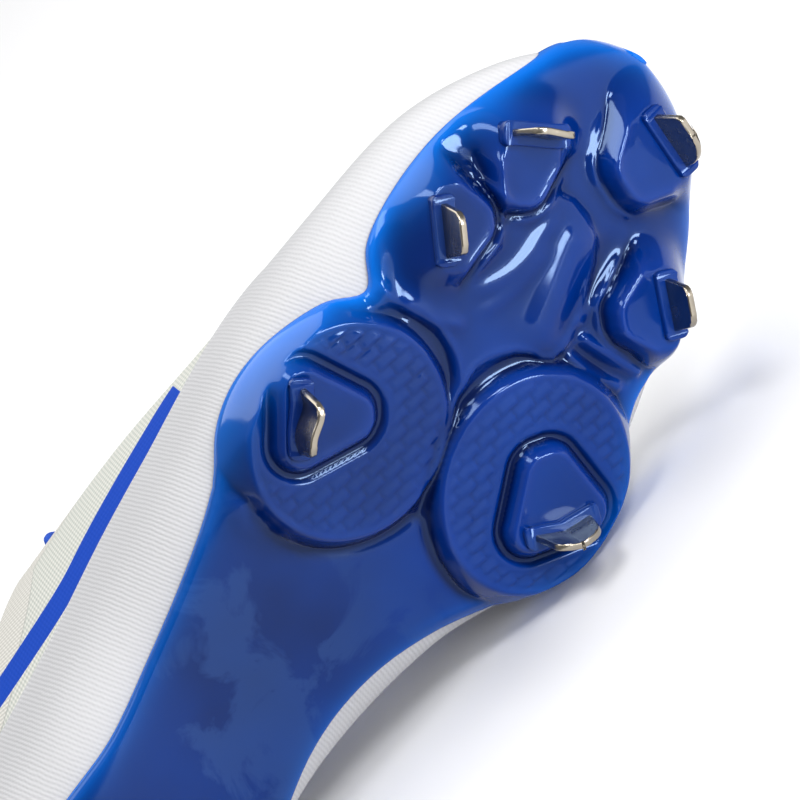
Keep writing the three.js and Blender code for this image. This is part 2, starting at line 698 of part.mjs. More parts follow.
function makeInsole() {
  const share = 0.8;
  const from = 0.025 * shoeLength;
  const to = 0.965 * shoeLength;
  const right = [];
  const left = [];
  const count = 14;
  for (let k = 0; k <= count; k++) {
    const t = stepOf(from) + ((stepOf(to) - stepOf(from)) * k) / count;
    const y = alongOf(t);
    right.push(new THREE.Vector2(column("lateral", t) * ballWidth * share, y));
    left.unshift(new THREE.Vector2(column("medial", t) * ballWidth * share, y));
  }
  const foot = lowerBody(innerGrow);
  const zone = planPrism([...right, ...left], -20, instepHeight);
  const room = foot.add(lastBody(innerGrow)).translate(0, 0, insoleThickness);
  return foot.intersect(zone).subtract(room);
}

// One lace run from a lateral to a medial place, just clear of the eyestay and the tongue.
function laceRun(from, to) {
  const count = 5;
  const points = [];
  for (let k = 0; k <= count; k++) {
    const p = from.clone().lerp(to, k / count);
    points.push(new THREE.Vector3(p.x, p.y, above(p.x, p.y, laceLift)));
  }
  const path = new THREE.CatmullRomCurve3(points, false, "centripetal");
  const shape = new THREE.Shape(new THREE.EllipseCurve(0, 0, laceRadius, laceRadius).getPoints(5).slice(0, 5));
  return solid(new THREE.ExtrudeGeometry(shape, { steps: count, bevelEnabled: false, extrudePath: path }));
}

function makeLaces() {
  const runs = [];
  const first = eyeletPlaces[eyeletPairs - 1];
  runs.push(laceRun(eyeletPoint(first, 1), eyeletPoint(first, -1)));
  for (let k = 0; k + 1 < eyeletPairs; k++) {
    runs.push(laceRun(eyeletPoint(eyeletPlaces[k], 1), eyeletPoint(eyeletPlaces[k + 1], -1)));
    runs.push(laceRun(eyeletPoint(eyeletPlaces[k], -1), eyeletPoint(eyeletPlaces[k + 1], 1)));
  }
  return sum(runs);
}

// Rolls a body with these corner points and this centre of mass, first set down with down pointing to
// the floor, until it rests on three points. Returns the way down in the body's own frame.
function settle(points, centre, down) {
  const dir = down.clone().normalize();
  const lowest = () => points.reduce((a, b) => (b.dot(dir) > a.dot(dir) ? b : a));
  const turnUntilContact = (pivot, axis) => {
    const ahead = axis.clone().cross(dir);
    let best = null;
    let least = Infinity;
    for (const p of points) {
      const r = p.clone().sub(pivot);
      const forward = r.dot(ahead);
      if (forward < 1e-4 || r.clone().cross(axis).length() < 1e-3) continue;
      const angle = Math.atan2(-r.dot(dir), forward);
      if (angle > 1e-7 && angle < least) [least, best] = [angle, p];
    }
    dir.applyAxisAngle(axis, least);
    return best;
  };
  const first = lowest();
  let contacts = [first, turnUntilContact(first, first.clone().sub(centre).cross(dir).normalize())];
  for (let round = 0; round < 40; round++) {
    const [p, q] = contacts;
    const axis = q.clone().sub(p).normalize();
    if (p.clone().sub(centre).dot(axis.clone().cross(dir)) > 0) axis.negate();
    const third = turnUntilContact(p, axis);
    const corners = [p, q, third];
    const outside = corners.findIndex((corner, i) => {
      const a = corners[(i + 1) % 3];
      const b = corners[(i + 2) % 3];
      const wall3 = b.clone().sub(a).cross(dir);
      return wall3.dot(corner.clone().sub(a)) * wall3.dot(centre.clone().sub(a)) < 0;
    });
    if (outside < 0) return { dir, corners };
    contacts = corners.filter((_, i) => i !== outside);
  }
  throw new Error("the shoe finds no rest on this side");
}

const detail = 0.1; // facets smaller than this are merged
const bodies = {
  outsole_plate: makePlate().simplify(detail),
  upper: makeUpper().simplify(detail),
  tongue: makeTongue().simplify(detail),
  insole: makeInsole().simplify(detail),
  laces: makeLaces().simplify(detail),
};

// Weights for the balance, in grams per cubic centimetre.
const density = { outsole_plate: 1.1, upper: 0.75, tongue: 0.35, insole: 0.25, laces: 0.9 };
const steel = 7.8;

const heap = { points: [], mass: 0, moment: new THREE.Vector3() };
function weigh(body, weight) {
  const mesh = body.getMesh();
  const v = mesh.vertProperties;
  const at = (i) => new THREE.Vector3(v[3 * i], v[3 * i + 1], v[3 * i + 2]);
  for (let i = 0; i < mesh.numVert; i++) heap.points.push(at(i));
  for (let i = 0; i < mesh.triVerts.length; i += 3) {
    const [a, b, c] = [0, 1, 2].map((k) => at(mesh.triVerts[i + k]));
    const share = (weight * a.dot(b.clone().cross(c))) / 6;
    heap.mass += share;
    heap.moment.addScaledVector(a.add(b).add(c), share / 4);
  }
}
for (const [name, body] of Object.entries(bodies)) weigh(body, density[name]);
const spikes = mounts.map((mount) => {
  const geometry = spikeGeometry(mount).applyMatrix4(mountFrame(mount));
  weigh(solid(geometry), steel);
  return { mount, geometry };
});
const centre = heap.moment.clone().divideScalar(heap.mass);
const { dir: down } = settle(heap.points, centre, new THREE.Vector3(-1, 0, -0.15));

// The floor: Z up against down, X along the shoe towards the toe.
const up = down.clone().negate();
const toeward = new THREE.Vector3(0, 1, 0).projectOnPlane(up).normalize();
const across = up.clone().cross(toeward);
const toShoe = new THREE.Matrix4().makeBasis(toeward, across, up);
const toFloor = toShoe.clone().transpose();

// Shaves a flat spot where a body touches the floor.
const flatSpot = 0.35;
const floorLevel = Math.max(...heap.points.map((p) => p.dot(down)));
function shaved(body) {
  const size = 3 * shoeLength;
  const slab = new THREE.BoxGeometry(size, size, size);
  slab.translate(0, 0, -size / 2).applyMatrix4(toShoe);
  const level = down.clone().multiplyScalar(floorLevel - flatSpot);
  return body.subtract(solid(slab.translate(level.x, level.y, level.z)));
}
bodies.outsole_plate = shaved(bodies.outsole_plate);
bodies.upper = shaved(bodies.upper);

const finish = {
  outsole_plate: { color: 0x0a3fb8, roughness: 0.16, metalness: 0 },
  upper: { color: 0xeeeef0, roughness: 0.75, metalness: 0 },
  tongue: { color: 0xd9dbe0, roughness: 0.9, metalness: 0 },
  insole: { color: 0x2b2e35, roughness: 0.9, metalness: 0 },
  laces: { color: 0x0f45c8, roughness: 0.8, metalness: 0 },
  spike: { color: 0x8d8270, roughness: 0.28, metalness: 1 },
};

function part(name, geometry, look) {
  const mesh = new THREE.Mesh(geometry, new THREE.MeshStandardMaterial(look));
  mesh.name = name;
  return mesh;
}

const shoe = new THREE.Group();
for (const [name, body] of Object.entries(bodies)) shoe.add(part(name, geometryOf(body), finish[name]));
for (const { mount, geometry } of spikes) shoe.add(part(`spike_${mount.name}`, geometry, finish.spike));

// Onto the floor, with the middle of its footprint's box at the origin.
shoe.quaternion.setFromRotationMatrix(toFloor);
shoe.updateMatrixWorld(true);
const box = new THREE.Box3().setFromObject(shoe, true);
const middle = box.getCenter(new THREE.Vector3());
shoe.position.set(-middle.x, -middle.y, -box.min.z);

const group = new THREE.Group();
group.add(shoe);
export default group;
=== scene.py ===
import math

import bmesh
import bpy
import numpy as np
from mathutils import Matrix, Vector


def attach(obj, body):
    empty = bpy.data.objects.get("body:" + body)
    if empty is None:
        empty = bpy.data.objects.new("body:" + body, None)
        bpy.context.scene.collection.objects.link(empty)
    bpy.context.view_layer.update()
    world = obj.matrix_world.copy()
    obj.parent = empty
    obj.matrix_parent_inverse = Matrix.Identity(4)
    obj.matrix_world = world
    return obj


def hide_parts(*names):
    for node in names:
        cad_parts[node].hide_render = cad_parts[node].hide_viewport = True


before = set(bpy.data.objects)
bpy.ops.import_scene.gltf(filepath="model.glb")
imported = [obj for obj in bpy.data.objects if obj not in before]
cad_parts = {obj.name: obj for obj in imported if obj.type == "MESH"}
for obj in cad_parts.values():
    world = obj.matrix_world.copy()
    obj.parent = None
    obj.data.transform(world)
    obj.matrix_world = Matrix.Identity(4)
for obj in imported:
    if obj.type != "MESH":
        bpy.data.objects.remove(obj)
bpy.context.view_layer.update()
print("frame loaded")

# The shoe's own frame, in mm: X to the lateral side, Y from heel to toe, Z up from the ground
shoe = {
    "length": 291,
    "ballWidth": 106,
    "instepHeight": 112,
    "wall": 2,
    "quarterStep": 0.8,
    "gap": 0.3,
    "collarPad": 4,
    "plateThickness": 2.4,
    "down": (-0.980527, -0.16532, -0.105998),  # the shoe lies on its medial side
    "place": (-144.541, -47.504, 23.872),  # where the heel's ground point is, over the floor
}

# Sections at equal steps of a half turn from heel to toe
sections = {
    "medial": [0, -0.16, -0.274, -0.321, -0.322, -0.33, -0.385, -0.55, -0.485, -0.4, -0.285, -0.15, -0.02],
    "lateral": [0, 0.16, 0.278, 0.321, 0.335, 0.362, 0.405, 0.45, 0.45, 0.4, 0.276, 0.118, -0.02],
    "ridge": [0, 0, 0, 0, 0.01, 0.035, 0, -0.035, -0.05, -0.055, -0.045, -0.03, -0.02],
    "bed": [0.125, 0.054, 0.029, 0.027, 0.045, 0.098, 0.06, 0.027, 0.031, 0.069, 0.12, 0.162, 0.185],
    "widest": [0.268, 0.232, 0.214, 0.214, 0.25, 0.268, 0.214, 0.185, 0.16, 0.155, 0.17, 0.195, 0.21],
    "crown": [1.16, 1.16, 1.16, 1.16, 1.15, 1.0, 0.85, 0.625, 0.475, 0.43, 0.38, 0.31, 0.25],
    "roof": [2.6, 2.6, 2.6, 2.6, 2.8, 2.95, 2.9, 2.3, 1.95, 2, 1.8, 1.8, 2],
}
bedRound = 3
endShare = 0.25

length = shoe["length"]
ball = shoe["ballWidth"]
instep = shoe["instepHeight"]

upWay = -Vector(shoe["down"]).normalized()
toeWay = (Vector((0, 1, 0)) - upWay * upWay.y).normalized()
toRow = Matrix((toeWay, upWay.cross(toeWay), upWay))
rowTurn = np.array(toRow)


# Points in the shoe's frame, in mm, to the row's frame in metres
def rowOf(points):
    return (np.asarray(points, float) @ rowTurn.T + np.array(shoe["place"])) / 1000


def rowVector(v):
    return toRow @ Vector(v)


def column(name, t):
    row = np.array(sections[name], float)
    last = len(row) - 1
    at = np.clip(t, 0, 1) * last
    i = np.minimum(at.astype(int), last - 1)
    f = at - i
    v = [row[np.clip(i + k, 0, last)] for k in (-1, 0, 1, 2)]
    bend = 2 * v[0] - 5 * v[1] + 4 * v[2] - v[3]
    twist = 3 * (v[1] - v[2]) + v[3] - v[0]
    return v[1] + 0.5 * f * (v[2] - v[0] + f * (bend + f * twist))


def alongOf(t):
    return length * (1 - np.cos(np.pi * t)) / 2


def stepOf(y):
    return np.arccos(1 - 2 * np.clip(y, 0, length) / length) / np.pi


# Leans the heel's back forward above its bulge and tucks it in below
def heelShift(y, z):
    fade = np.maximum(0, 1 - y / (0.3 * length)) ** 2
    rise = (z - 0.2 * instep) / instep
    return fade * np.where(rise > 0, 0.08 * instep * (rise / 0.55) ** 2, 0.045 * instep * (rise / 0.2) ** 2)


# The last's surface at step t and angle a, moved out by grow
def surface(t, a, grow):
    t, a, grow = np.broadcast_arrays(np.asarray(t, float), np.asarray(a, float), np.asarray(grow, float))
    side = np.sin(np.pi / 2 * np.minimum(np.minimum(t, 1 - t), endShare) / endShare)
    out = grow * side
    lateral = column("lateral", t) * ball + out
    medial = column("medial", t) * ball - out
    widest = column("widest", t) * instep
    over = np.sin(a) >= -1e-12
    middle = np.where(over, column("ridge", t) * ball, (lateral + medial) / 2)
    power = 2 / np.where(over, column("roof", t), bedRound)
    c = np.abs(np.cos(a))
    s = np.abs(np.sin(a))
    c = np.where(c < 1e-9, 0, c) ** power
    s = np.where(s < 1e-9, 0, s) ** power
    edge = np.where(np.cos(a) >= 0, lateral, medial)
    x = middle + (edge - middle) * c
    reach = np.where(over, column("crown", t) * instep + out, column("bed", t) * instep - out) - widest
    z = widest + reach * s
    y = alongOf(t) + np.sqrt(np.maximum(0, 1 - side * side)) * np.where(t < 0.5, -grow, grow)
    return np.stack([x, y + heelShift(y, z), z], -1)


def under(x, y, grow):
    t = stepOf(y)
    lateral = column("lateral", t) * ball + grow
    medial = column("medial", t) * ball - grow
    middle = (lateral + medial) / 2
    widest = column("widest", t) * instep
    bed = column("bed", t) * instep - grow
    share = np.minimum(1, np.abs((x - middle) / (lateral - middle)))
    return widest - (widest - bed) * (1 - share ** bedRound) ** (1 / bedRound)


def above(x, y, grow):
    t = stepOf(y)
    middle = column("ridge", t) * ball
    edge = np.where(x > middle, column("lateral", t) * ball + grow, column("medial", t) * ball - grow)
    widest = column("widest", t) * instep
    crown = column("crown", t) * instep + grow
    share = np.minimum(1, np.abs((x - middle) / (edge - middle)))
    roof = column("roof", t)
    return widest + (crown - widest) * (1 - share ** roof) ** (1 / roof)


# Smooth tools for shaping
def smoothStep(low, high, value):
    s = np.clip((value - low) / (high - low), 0, 1)
    return s * s * (3 - 2 * s)


def smoothMin(a, b, round):
    h = np.clip(0.5 + 0.5 * (b - a) / round, 0, 1)
    return b + (a - b) * h - round * h * (1 - h)


def smoothMax(a, b, round):
    return -smoothMin(-a, -b, round)


# Centripetal curve through points, closed or open, with steps points for each span
def smoothLine(points, closed, steps):
    points = [Vector(p) for p in points]
    if closed:
        points = [points[-1]] + points + points[:2]
    else:
        points = [2 * points[0] - points[1]] + points + [2 * points[-1] - points[-2]]
    line = []
    for p0, p1, p2, p3 in zip(points, points[1:], points[2:], points[3:]):
        k0, k1, k2 = [max((b - a).length, 1e-6) ** 0.5 for a, b in ((p0, p1), (p1, p2), (p2, p3))]
        m1 = (p1 - p0) / k0 - (p2 - p0) / (k0 + k1) + (p2 - p1) / k1
        m2 = (p2 - p1) / k1 - (p3 - p1) / (k1 + k2) + (p3 - p2) / k2
        m1 *= k1
        m2 *= k1
        for i in range(steps):
            s = i / steps
            line.append(p1 * (2 * s**3 - 3 * s**2 + 1) + m1 * (s**3 - 2 * s**2 + s)
                        + p2 * (3 * s**2 - 2 * s**3) + m2 * (s**3 - s**2))
    if not closed:
        line.append(points[-2])
    return np.array([list(p) for p in line])


# A small ridge: its height, the distance that it stands at and its half width
def ridgeLine(away, row):
    tall, at, half = row
    return tall * np.exp(-(((away - at) / half) ** 2))


# The mean of each place's four neighbours
def eased(values):
    return (values[:-2, 1:-1] + values[2:, 1:-1] + values[1:-1, :-2] + values[1:-1, 2:]) / 4


# Distance to an outline in plan, negative inside
def outlineDistance(x, y, line, closed=True):
    best = np.full(x.shape, 1e9)
    inside = np.zeros(x.shape, bool)
    ends = np.roll(line, -1, 0) if closed else line[1:]
    for (ax, ay), (bx, by) in zip(line, ends):
        dx, dy = bx - ax, by - ay
        s = np.clip(((x - ax) * dx + (y - ay) * dy) / (dx * dx + dy * dy + 1e-12), 0, 1)
        best = np.minimum(best, (x - ax - s * dx) ** 2 + (y - ay - s * dy) ** 2)
        if closed and ay != by:
            inside ^= ((ay > y) != (by > y)) & (x < dx * (y - ay) / dy + ax)
    best = np.sqrt(best)
    return np.where(inside, -best, best)


# Distance to an open line and the share of the way along it
def lineDistance(x, y, line):
    best = np.full(x.shape, 1e9)
    share = np.zeros(x.shape)
    spans = np.linalg.norm(np.diff(line, axis=0), axis=1)
    start = np.concatenate([[0], np.cumsum(spans)])
    for k, ((ax, ay), (bx, by)) in enumerate(zip(line, line[1:])):
        dx, dy = bx - ax, by - ay
        s = np.clip(((x - ax) * dx + (y - ay) * dy) / (dx * dx + dy * dy + 1e-12), 0, 1)
        d = (x - ax - s * dx) ** 2 + (y - ay - s * dy) ** 2
        nearer = d < best
        best = np.where(nearer, d, best)
        share = np.where(nearer, (start[k] + s * spans[k]) / start[-1], share)
    return np.sqrt(best), share


# Points of a dense line respaced by its own length, at the shares given
def respaced(line, shares):
    steps = np.concatenate([[0], np.cumsum(np.linalg.norm(np.diff(line, axis=0), axis=1))])
    if steps[-1] < 1e-9:
        return np.repeat(line[:1], len(shares), 0)
    return np.stack([np.interp(np.asarray(shares) * steps[-1], steps, line[:, k]) for k in range(3)], -1)


# A piece from a grid whose points are moved into place, with its own map and values at its points
def gridPiece(name, points, material, uv=None, values=None, cut=None, ring=True, seam=2e-6):
    rows, columns = points.shape[:2]
    bm = bmesh.new()
    bmesh.ops.create_grid(bm, x_segments=columns - 1, y_segments=rows - 1, size=1)
    mesh = bpy.data.meshes.new(name)
    bm.to_mesh(mesh)
    bm.free()
    co = np.zeros(rows * columns * 3, np.float32)
    mesh.vertices.foreach_get("co", co)
    co = co.reshape(-1, 3)
    i = np.rint((co[:, 1] + 1) / 2 * (rows - 1)).astype(int)
    j = np.rint((co[:, 0] + 1) / 2 * (columns - 1)).astype(int)
    mesh.vertices.foreach_set("co", points[i, j].astype(np.float32).ravel())
    for key, value in (values or {}).items():
        layer = mesh.attributes.new(key, "FLOAT", "POINT")
        layer.data.foreach_set("value", value[i, j].astype(np.float32))
    if uv is not None:
        corner = np.zeros(len(mesh.loops), np.int32)
        mesh.loops.foreach_get("vertex_index", corner)
        layer = mesh.uv_layers.new(name="pieceMap")
        layer.uv.foreach_set("vector", uv[i, j][corner].astype(np.float32).ravel())
    bm = bmesh.new()
    bm.from_mesh(mesh)
    if cut is not None:
        gone = [f for f in bm.faces if all(cut[i[v.index], j[v.index]] for v in f.verts)]
        bmesh.ops.delete(bm, geom=gone, context="FACES")
    bmesh.ops.remove_doubles(bm, verts=bm.verts, dist=seam)
    bmesh.ops.dissolve_degenerate(bm, edges=bm.edges, dist=1e-7)
    if ring:
        bmesh.ops.holes_fill(bm, edges=[e for e in bm.edges if e.is_boundary], sides=0)
    bmesh.ops.recalc_face_normals(bm, faces=bm.faces)
    return finished(name, bm, material, mesh)


def finished(name, bm, material, mesh=None):
    mesh = mesh or bpy.data.meshes.new(name)
    for face in bm.faces:
        face.smooth = True
    bm.to_mesh(mesh)
    bm.free()
    mesh.name = name
    mesh.materials.append(material)
    piece = bpy.data.objects.new(name, mesh)
    bpy.context.scene.collection.objects.link(piece)
    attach(piece, "root")
    return piece


# Materials
def newMaterial(name, colour, roughness, **sockets):
    material = bpy.data.materials.new(name)
    material.use_nodes = True
    tree = material.node_tree
    shader = tree.nodes["Principled BSDF"]
    shader.inputs["Base Color"].default_value = (*colour, 1)
    shader.inputs["Roughness"].default_value = roughness
    for key, value in sockets.items():
        shader.inputs[key.replace("_", " ")].default_value = value
    return material, tree, shader


def addNode(tree, kind, links=None, **settings):
    node = tree.nodes.new(kind)
    for key, value in settings.items():
        if hasattr(node, key):
            setattr(node, key, value)
        else:
            node.inputs[key.replace("_", " ")].default_value = value
    for key, socket in (links or {}).items():
        tree.links.new(socket, node.inputs[key])
    return node


def math2(tree, operation, a, b=None, clamp=False):
    node = tree.nodes.new("ShaderNodeMath")
    node.operation = operation
    node.use_clamp = clamp
    for k, value in enumerate((a, b)):
        if value is None:
            continue
        if isinstance(value, (int, float)):
            node.inputs[k].default_value = value
        else:
            tree.links.new(value, node.inputs[k])
    return node.outputs[0]


def mixColour(tree, share, a, b):
    node = tree.nodes.new("ShaderNodeMix")
    node.data_type = "RGBA"
    for value, socket in ((share, node.inputs[0]), (a, node.inputs[6]), (b, node.inputs[7])):
        if isinstance(value, (int, float)):
            socket.default_value = value
        elif isinstance(value, tuple):
            socket.default_value = (*value, 1)
        else:
            tree.links.new(value, socket)
    return node.outputs[2]


def times(tree, a, b, clamp=False):
    return math2(tree, "MULTIPLY", a, b, clamp)


def plus(tree, a, b):
    return math2(tree, "ADD", a, b)


# A sine across a socket's value, from -1 to 1, and its share from 0 to 1
def waveOf(tree, value, pitch):
    return math2(tree, "SINE", times(tree, value, 2 * math.pi / pitch))


def shareOf(tree, wave):
    return times(tree, plus(tree, wave, 1.0), 0.5, True)


# 0 at low, 1 at high
def rampOf(tree, value, low, high):
    return addNode(tree, "ShaderNodeMapRange", {"Value": value}, From_Min=low, From_Max=high).outputs[0]


def noiseOf(tree, place, **settings):
    return addNode(tree, "ShaderNodeTexNoise", {"Vector": place}, **settings).outputs["Fac"]


def attributeOf(tree, name):
    return addNode(tree, "ShaderNodeAttribute", attribute_name=name).outputs["Fac"]


def bumpOn(tree, shader, heightSocket, strength, distance):
    bump = addNode(tree, "ShaderNodeBump", {"Height": heightSocket}, Strength=strength, Distance=distance)
    tree.links.new(bump.outputs[0], shader.inputs["Normal"])


# Camera: the photograph looks at the forefoot's sole from its lateral side, rolled
view = {
    "aim": (11.7, 191.5, 0),
    "fromSide": math.radians(25),
    "roll": math.radians(32.6),
    "distance": 1.0,
    "lens": 189,
}
toCamera = Vector((math.sin(view["fromSide"]), 0, -math.cos(view["fromSide"])))
right0 = Vector((0, 1, 0)).cross(toCamera)
rightWay = right0 * math.cos(view["roll"]) + Vector((0, 1, 0)) * math.sin(view["roll"])
topWay = Vector((0, 1, 0)) * math.cos(view["roll"]) - right0 * math.sin(view["roll"])
camera = bpy.data.objects.new("camera", bpy.data.cameras.new("camera"))
camera.data.lens = view["lens"]
camera.data.sensor_width = 36
camera.data.clip_start = 0.05
aim = Vector(rowOf(view["aim"]))
turn = Matrix((rowVector(rightWay), rowVector(topWay), rowVector(toCamera))).transposed()
camera.matrix_world = Matrix.Translation(aim + rowVector(toCamera) * view["distance"]) @ turn.to_4x4()
bpy.context.scene.collection.objects.link(camera)
bpy.context.scene.camera = camera
print("camera placed")

# Plate
plate = {
    "podRise": 2.6,
    "mountRise": 6.5,
    "heelMountRise": 8.5,
    "moatWidth": 2.2,
    "moatDepth": 0.9,
    "webRise": 1.4,
    "edgeLean": 2.2,
    "ballLean": 1.4,  # how much steeper the edge leans at the ball
    "edgeRound": 1.5,
    "brick": (5.8, 3.3, 0.85),  # length, width and height of the pods' bricks
    "brickTurn": math.radians(109),
    "toeTuck": 0.14,
    # small ridges and ditches: height, distance and half width
    "webRim": (0.45, -0.6, 1.0),
    "bead": (0.9, 3.2, 1.9),
    "podDitch": (0.8, 3.6, 1.7),
    "podRing": (0.4, -1.0, 0.8),
    "moatLip": (0.4, 1.0, 1.0),
    "faceCrease": (0.3, -0.7, 0.5),
    "hillLip": (0.9, 1.9, 0.9),
    # where things start and stop along the shoe, in mm
    "webFades": (236, 222),
    "beadStarts": (140, 160),
    "beadStops": (222, 205),
    "leanStarts": (150, 165),
    "toeStarts": (225, 240),
    "tuckStarts": (205, 245),
    # the grid: rows from, to and how many, then the toe's rows and the columns
    "rowParts": [(0.2, 6, 16), (7, 150, 120), (150.55, 284, 243)],
    "toeRows": (284.5, 26),
    "columns": 190,
    "dense": 361,  # points tried across a row to find its ends
}
plateOutline = [
    (0, 0.01), (0.1, 0.022), (0.2, 0.062), (0.252, 0.125), (0.25, 0.19), (0.238, 0.245),
    (0.222, 0.302), (0.245, 0.385), (0.3, 0.469), (0.345, 0.518), (0.401, 0.556), (0.426, 0.598),
    (0.418, 0.644), (0.368, 0.693), (0.305, 0.718), (0.358, 0.748), (0.37, 0.8), (0.343, 0.859),
    (0.298, 0.899), (0.242, 0.936), (0.185, 0.967), (0.11, 1.005), (-0.03, 1.06), (-0.25, 1.04),
    (-0.4, 0.96), (-0.45, 0.915), (-0.47, 0.862), (-0.455, 0.82), (-0.425, 0.772), (-0.452, 0.74),
    (-0.5, 0.711), (-0.528, 0.668), (-0.521, 0.618), (-0.443, 0.57), (-0.33, 0.516), (-0.262, 0.467),
    (-0.235, 0.416), (-0.238, 0.366), (-0.266, 0.305), (-0.282, 0.239), (-0.278, 0.17), (-0.252, 0.105),
    (-0.2, 0.056), (-0.1, 0.02),
]
web = [
    (-0.055, 0.622), (-0.006, 0.668), (0.017, 0.693), (0.061, 0.712), (0.126, 0.723), (0.24, 0.727),
    (0.17, 0.765), (0.12, 0.82), (0.03, 0.872), (-0.1, 0.86), (-0.17, 0.79), (-0.16, 0.755),
    (-0.068, 0.743), (-0.003, 0.714), (-0.012, 0.685), (-0.045, 0.645),
]
pods = [
    {"across": 0.183, "along": 0.614, "halfLong": 27, "halfShort": 25.2},
    {"across": -0.283, "along": 0.66, "halfLong": 28, "halfShort": 24.5},
]
podHeading = math.radians(70)
# low and high: how far the face reaches along the blade on either side
mountColumns = ["name", "across", "along", "heading", "depth", "lean", "tip", "low", "high", "foot",
                "blade", "drop", "kink", "wave"]
mounts = [dict(zip(mountColumns, row)) for row in (
    ("toe_lateral", 0.175, 0.9, 152, 16.8, -2, 1, 10, 10, 3.2, 14, 9.5, 0, 0.3),
    ("toe_medial", -0.138, 0.96, 202, 16.4, 0.8, 2, 13, 12, 3.6, 15, 9.5, 0, 0),
    ("fore_lateral", 0.262, 0.793, 51, 13.3, 0.3, 0.6, 12.5, 13, 3.2, 13, 9.5, 0, 0),
    ("fore_medial", -0.326, 0.846, 226, 13.8, 0.8, 0.8, 12, 13, 3, 13, 9.5, 0, 0),
    ("ball_lateral", 0.314, 0.602, 55, 18.8, -1.2, 0.4, 12.5, 11.8, 3, 15.5, 11, 0, 1),
    ("ball_medial", -0.377, 0.642, 310, 19.2, -0.5, 1, 12.5, 12.5, 3, 15.5, 11, -1.6, 0),
    ("heel_lateral", 0.16, 0.17, 70, 15, 0, 3, 10.5, 10.5, 5, 15, 11, 0, 0),
    ("heel_medial", -0.17, 0.17, 290, 15, 0, 3, 10.5, 10.5, 5, 15, 11, 0, 0),
    ("heel_rear", 0, 0.06, 0, 14, 0, 3, 10.5, 10.5, 5, 15, 11, 0, 0),
)]
faceCorner = 5.5
faceBack = 4.5
plateGrow = shoe["gap"] + shoe["plateThickness"]


# Sets a mount's own frame: X along the blade, Y to its face's point, Z up into the shoe
def setMount(mount):
    x, y = mount["across"] * ball, mount["along"] * length
    rise = plate["heelMountRise"] if mount["name"].startswith("heel") else plate["mountRise"]
    probe = 0.03 * length
    slope = (under(0.0, y + probe, plateGrow) - under(0.0, y - probe, plateGrow)) / (2 * probe)
    spring = math.atan(slope) if mount["along"] > 0.7 else 0.0
    mount["x"], mount["y"], mount["rise"], mount["spring"] = x, y, rise, spring
    mount["base"] = float(under(x * 0.6, y, plateGrow)) - rise
    heading = Matrix.Rotation(math.radians(mount["heading"]), 4, "Z")
    tilt = Matrix.Rotation(spring, 4, "X")
    mount["frame"] = Matrix.Translation((x, y, mount["base"])) @ tilt @ heading
    back = faceCorner - faceBack
    far = mount["depth"] - faceCorner
    mount["core"] = np.array([
        (faceCorner - mount["low"], back), (mount["high"] - faceCorner, back),
        (mount["lean"] + mount["tip"], far), (mount["lean"] - mount["tip"], far),
    ])


for mount in mounts:
    setMount(mount)


# The steps of a piece's rows, from heel to toe
def rowSteps(piece):
    start, count = piece["toeRows"]
    parts = [stepOf(np.linspace(*part)) for part in piece["rowParts"]]
    return np.concatenate(parts + [np.linspace(stepOf(start), 1, count)])


# Sections of the plate's outer face between its edges, from heel to toe
def plateRows():
    outline = smoothLine([(u * ball, v * length) for u, v in plateOutline], True, 5)
    steps = rowSteps(plate)
    angles = np.linspace(np.pi, 2 * np.pi, plate["dense"])
    gap = angles[1] - angles[0]
    dense = surface(steps[:, None], angles[None, :], plateGrow)
    inside = outlineDistance(dense[..., 0], dense[..., 1], outline)
    kept = [i for i in range(len(steps)) if np.count_nonzero(inside[i] < 0) > 2]
    ends = np.zeros((len(kept), 2))
    for k, i in enumerate(kept):
        within = np.nonzero(inside[i] < 0)[0]
        first, last = within[0], within[-1]
        ends[k] = angles[first], angles[last]
        if first > 0:
            ends[k, 0] -= gap * inside[i, first] / (inside[i, first] - inside[i, first - 1])
        if last < len(angles) - 1:
            ends[k, 1] += gap * inside[i, last] / (inside[i, last] - inside[i, last + 1])
    steps = steps[kept]
    # towards the toe the edge stays below the widest line
    lower = 0.04 + plate["toeTuck"] * smoothStep(*plate["tuckStarts"], alongOf(steps))
    ends[:, 0] = smoothMax(ends[:, 0], np.pi + lower, 0.03)
    ends[:, 1] = smoothMin(ends[:, 1], 2 * np.pi - lower, 0.03)
    # a few rounds even the edge, and many more at the toe
    toeward = smoothStep(215, 250, alongOf(steps))[1:-1, None]
    for k in range(90):
        even = (ends[:-2] + 2 * ends[1:-1] + ends[2:]) / 4
        ends[1:-1] += (even - ends[1:-1]) * (1 if k < 6 else toeward)
    shares = np.linspace(0, 1, plate["columns"])
    shares = shares - 0.5 * np.sin(2 * np.pi * shares) / (2 * np.pi)
    way = np.linspace(0, 1, plate["dense"])
    rows = []
    for step, (start, end) in zip(steps, ends):
        rows.append(respaced(surface(step, start + (end - start) * way, plateGrow), shares))
    return np.array(rows), steps


def localOf(mount, x, y):
    h = math.radians(mount["heading"])
    dx, dy = x - mount["x"], y - mount["y"]
    return dx * math.cos(h) + dy * math.sin(h), dy * math.cos(h) - dx * math.sin(h)


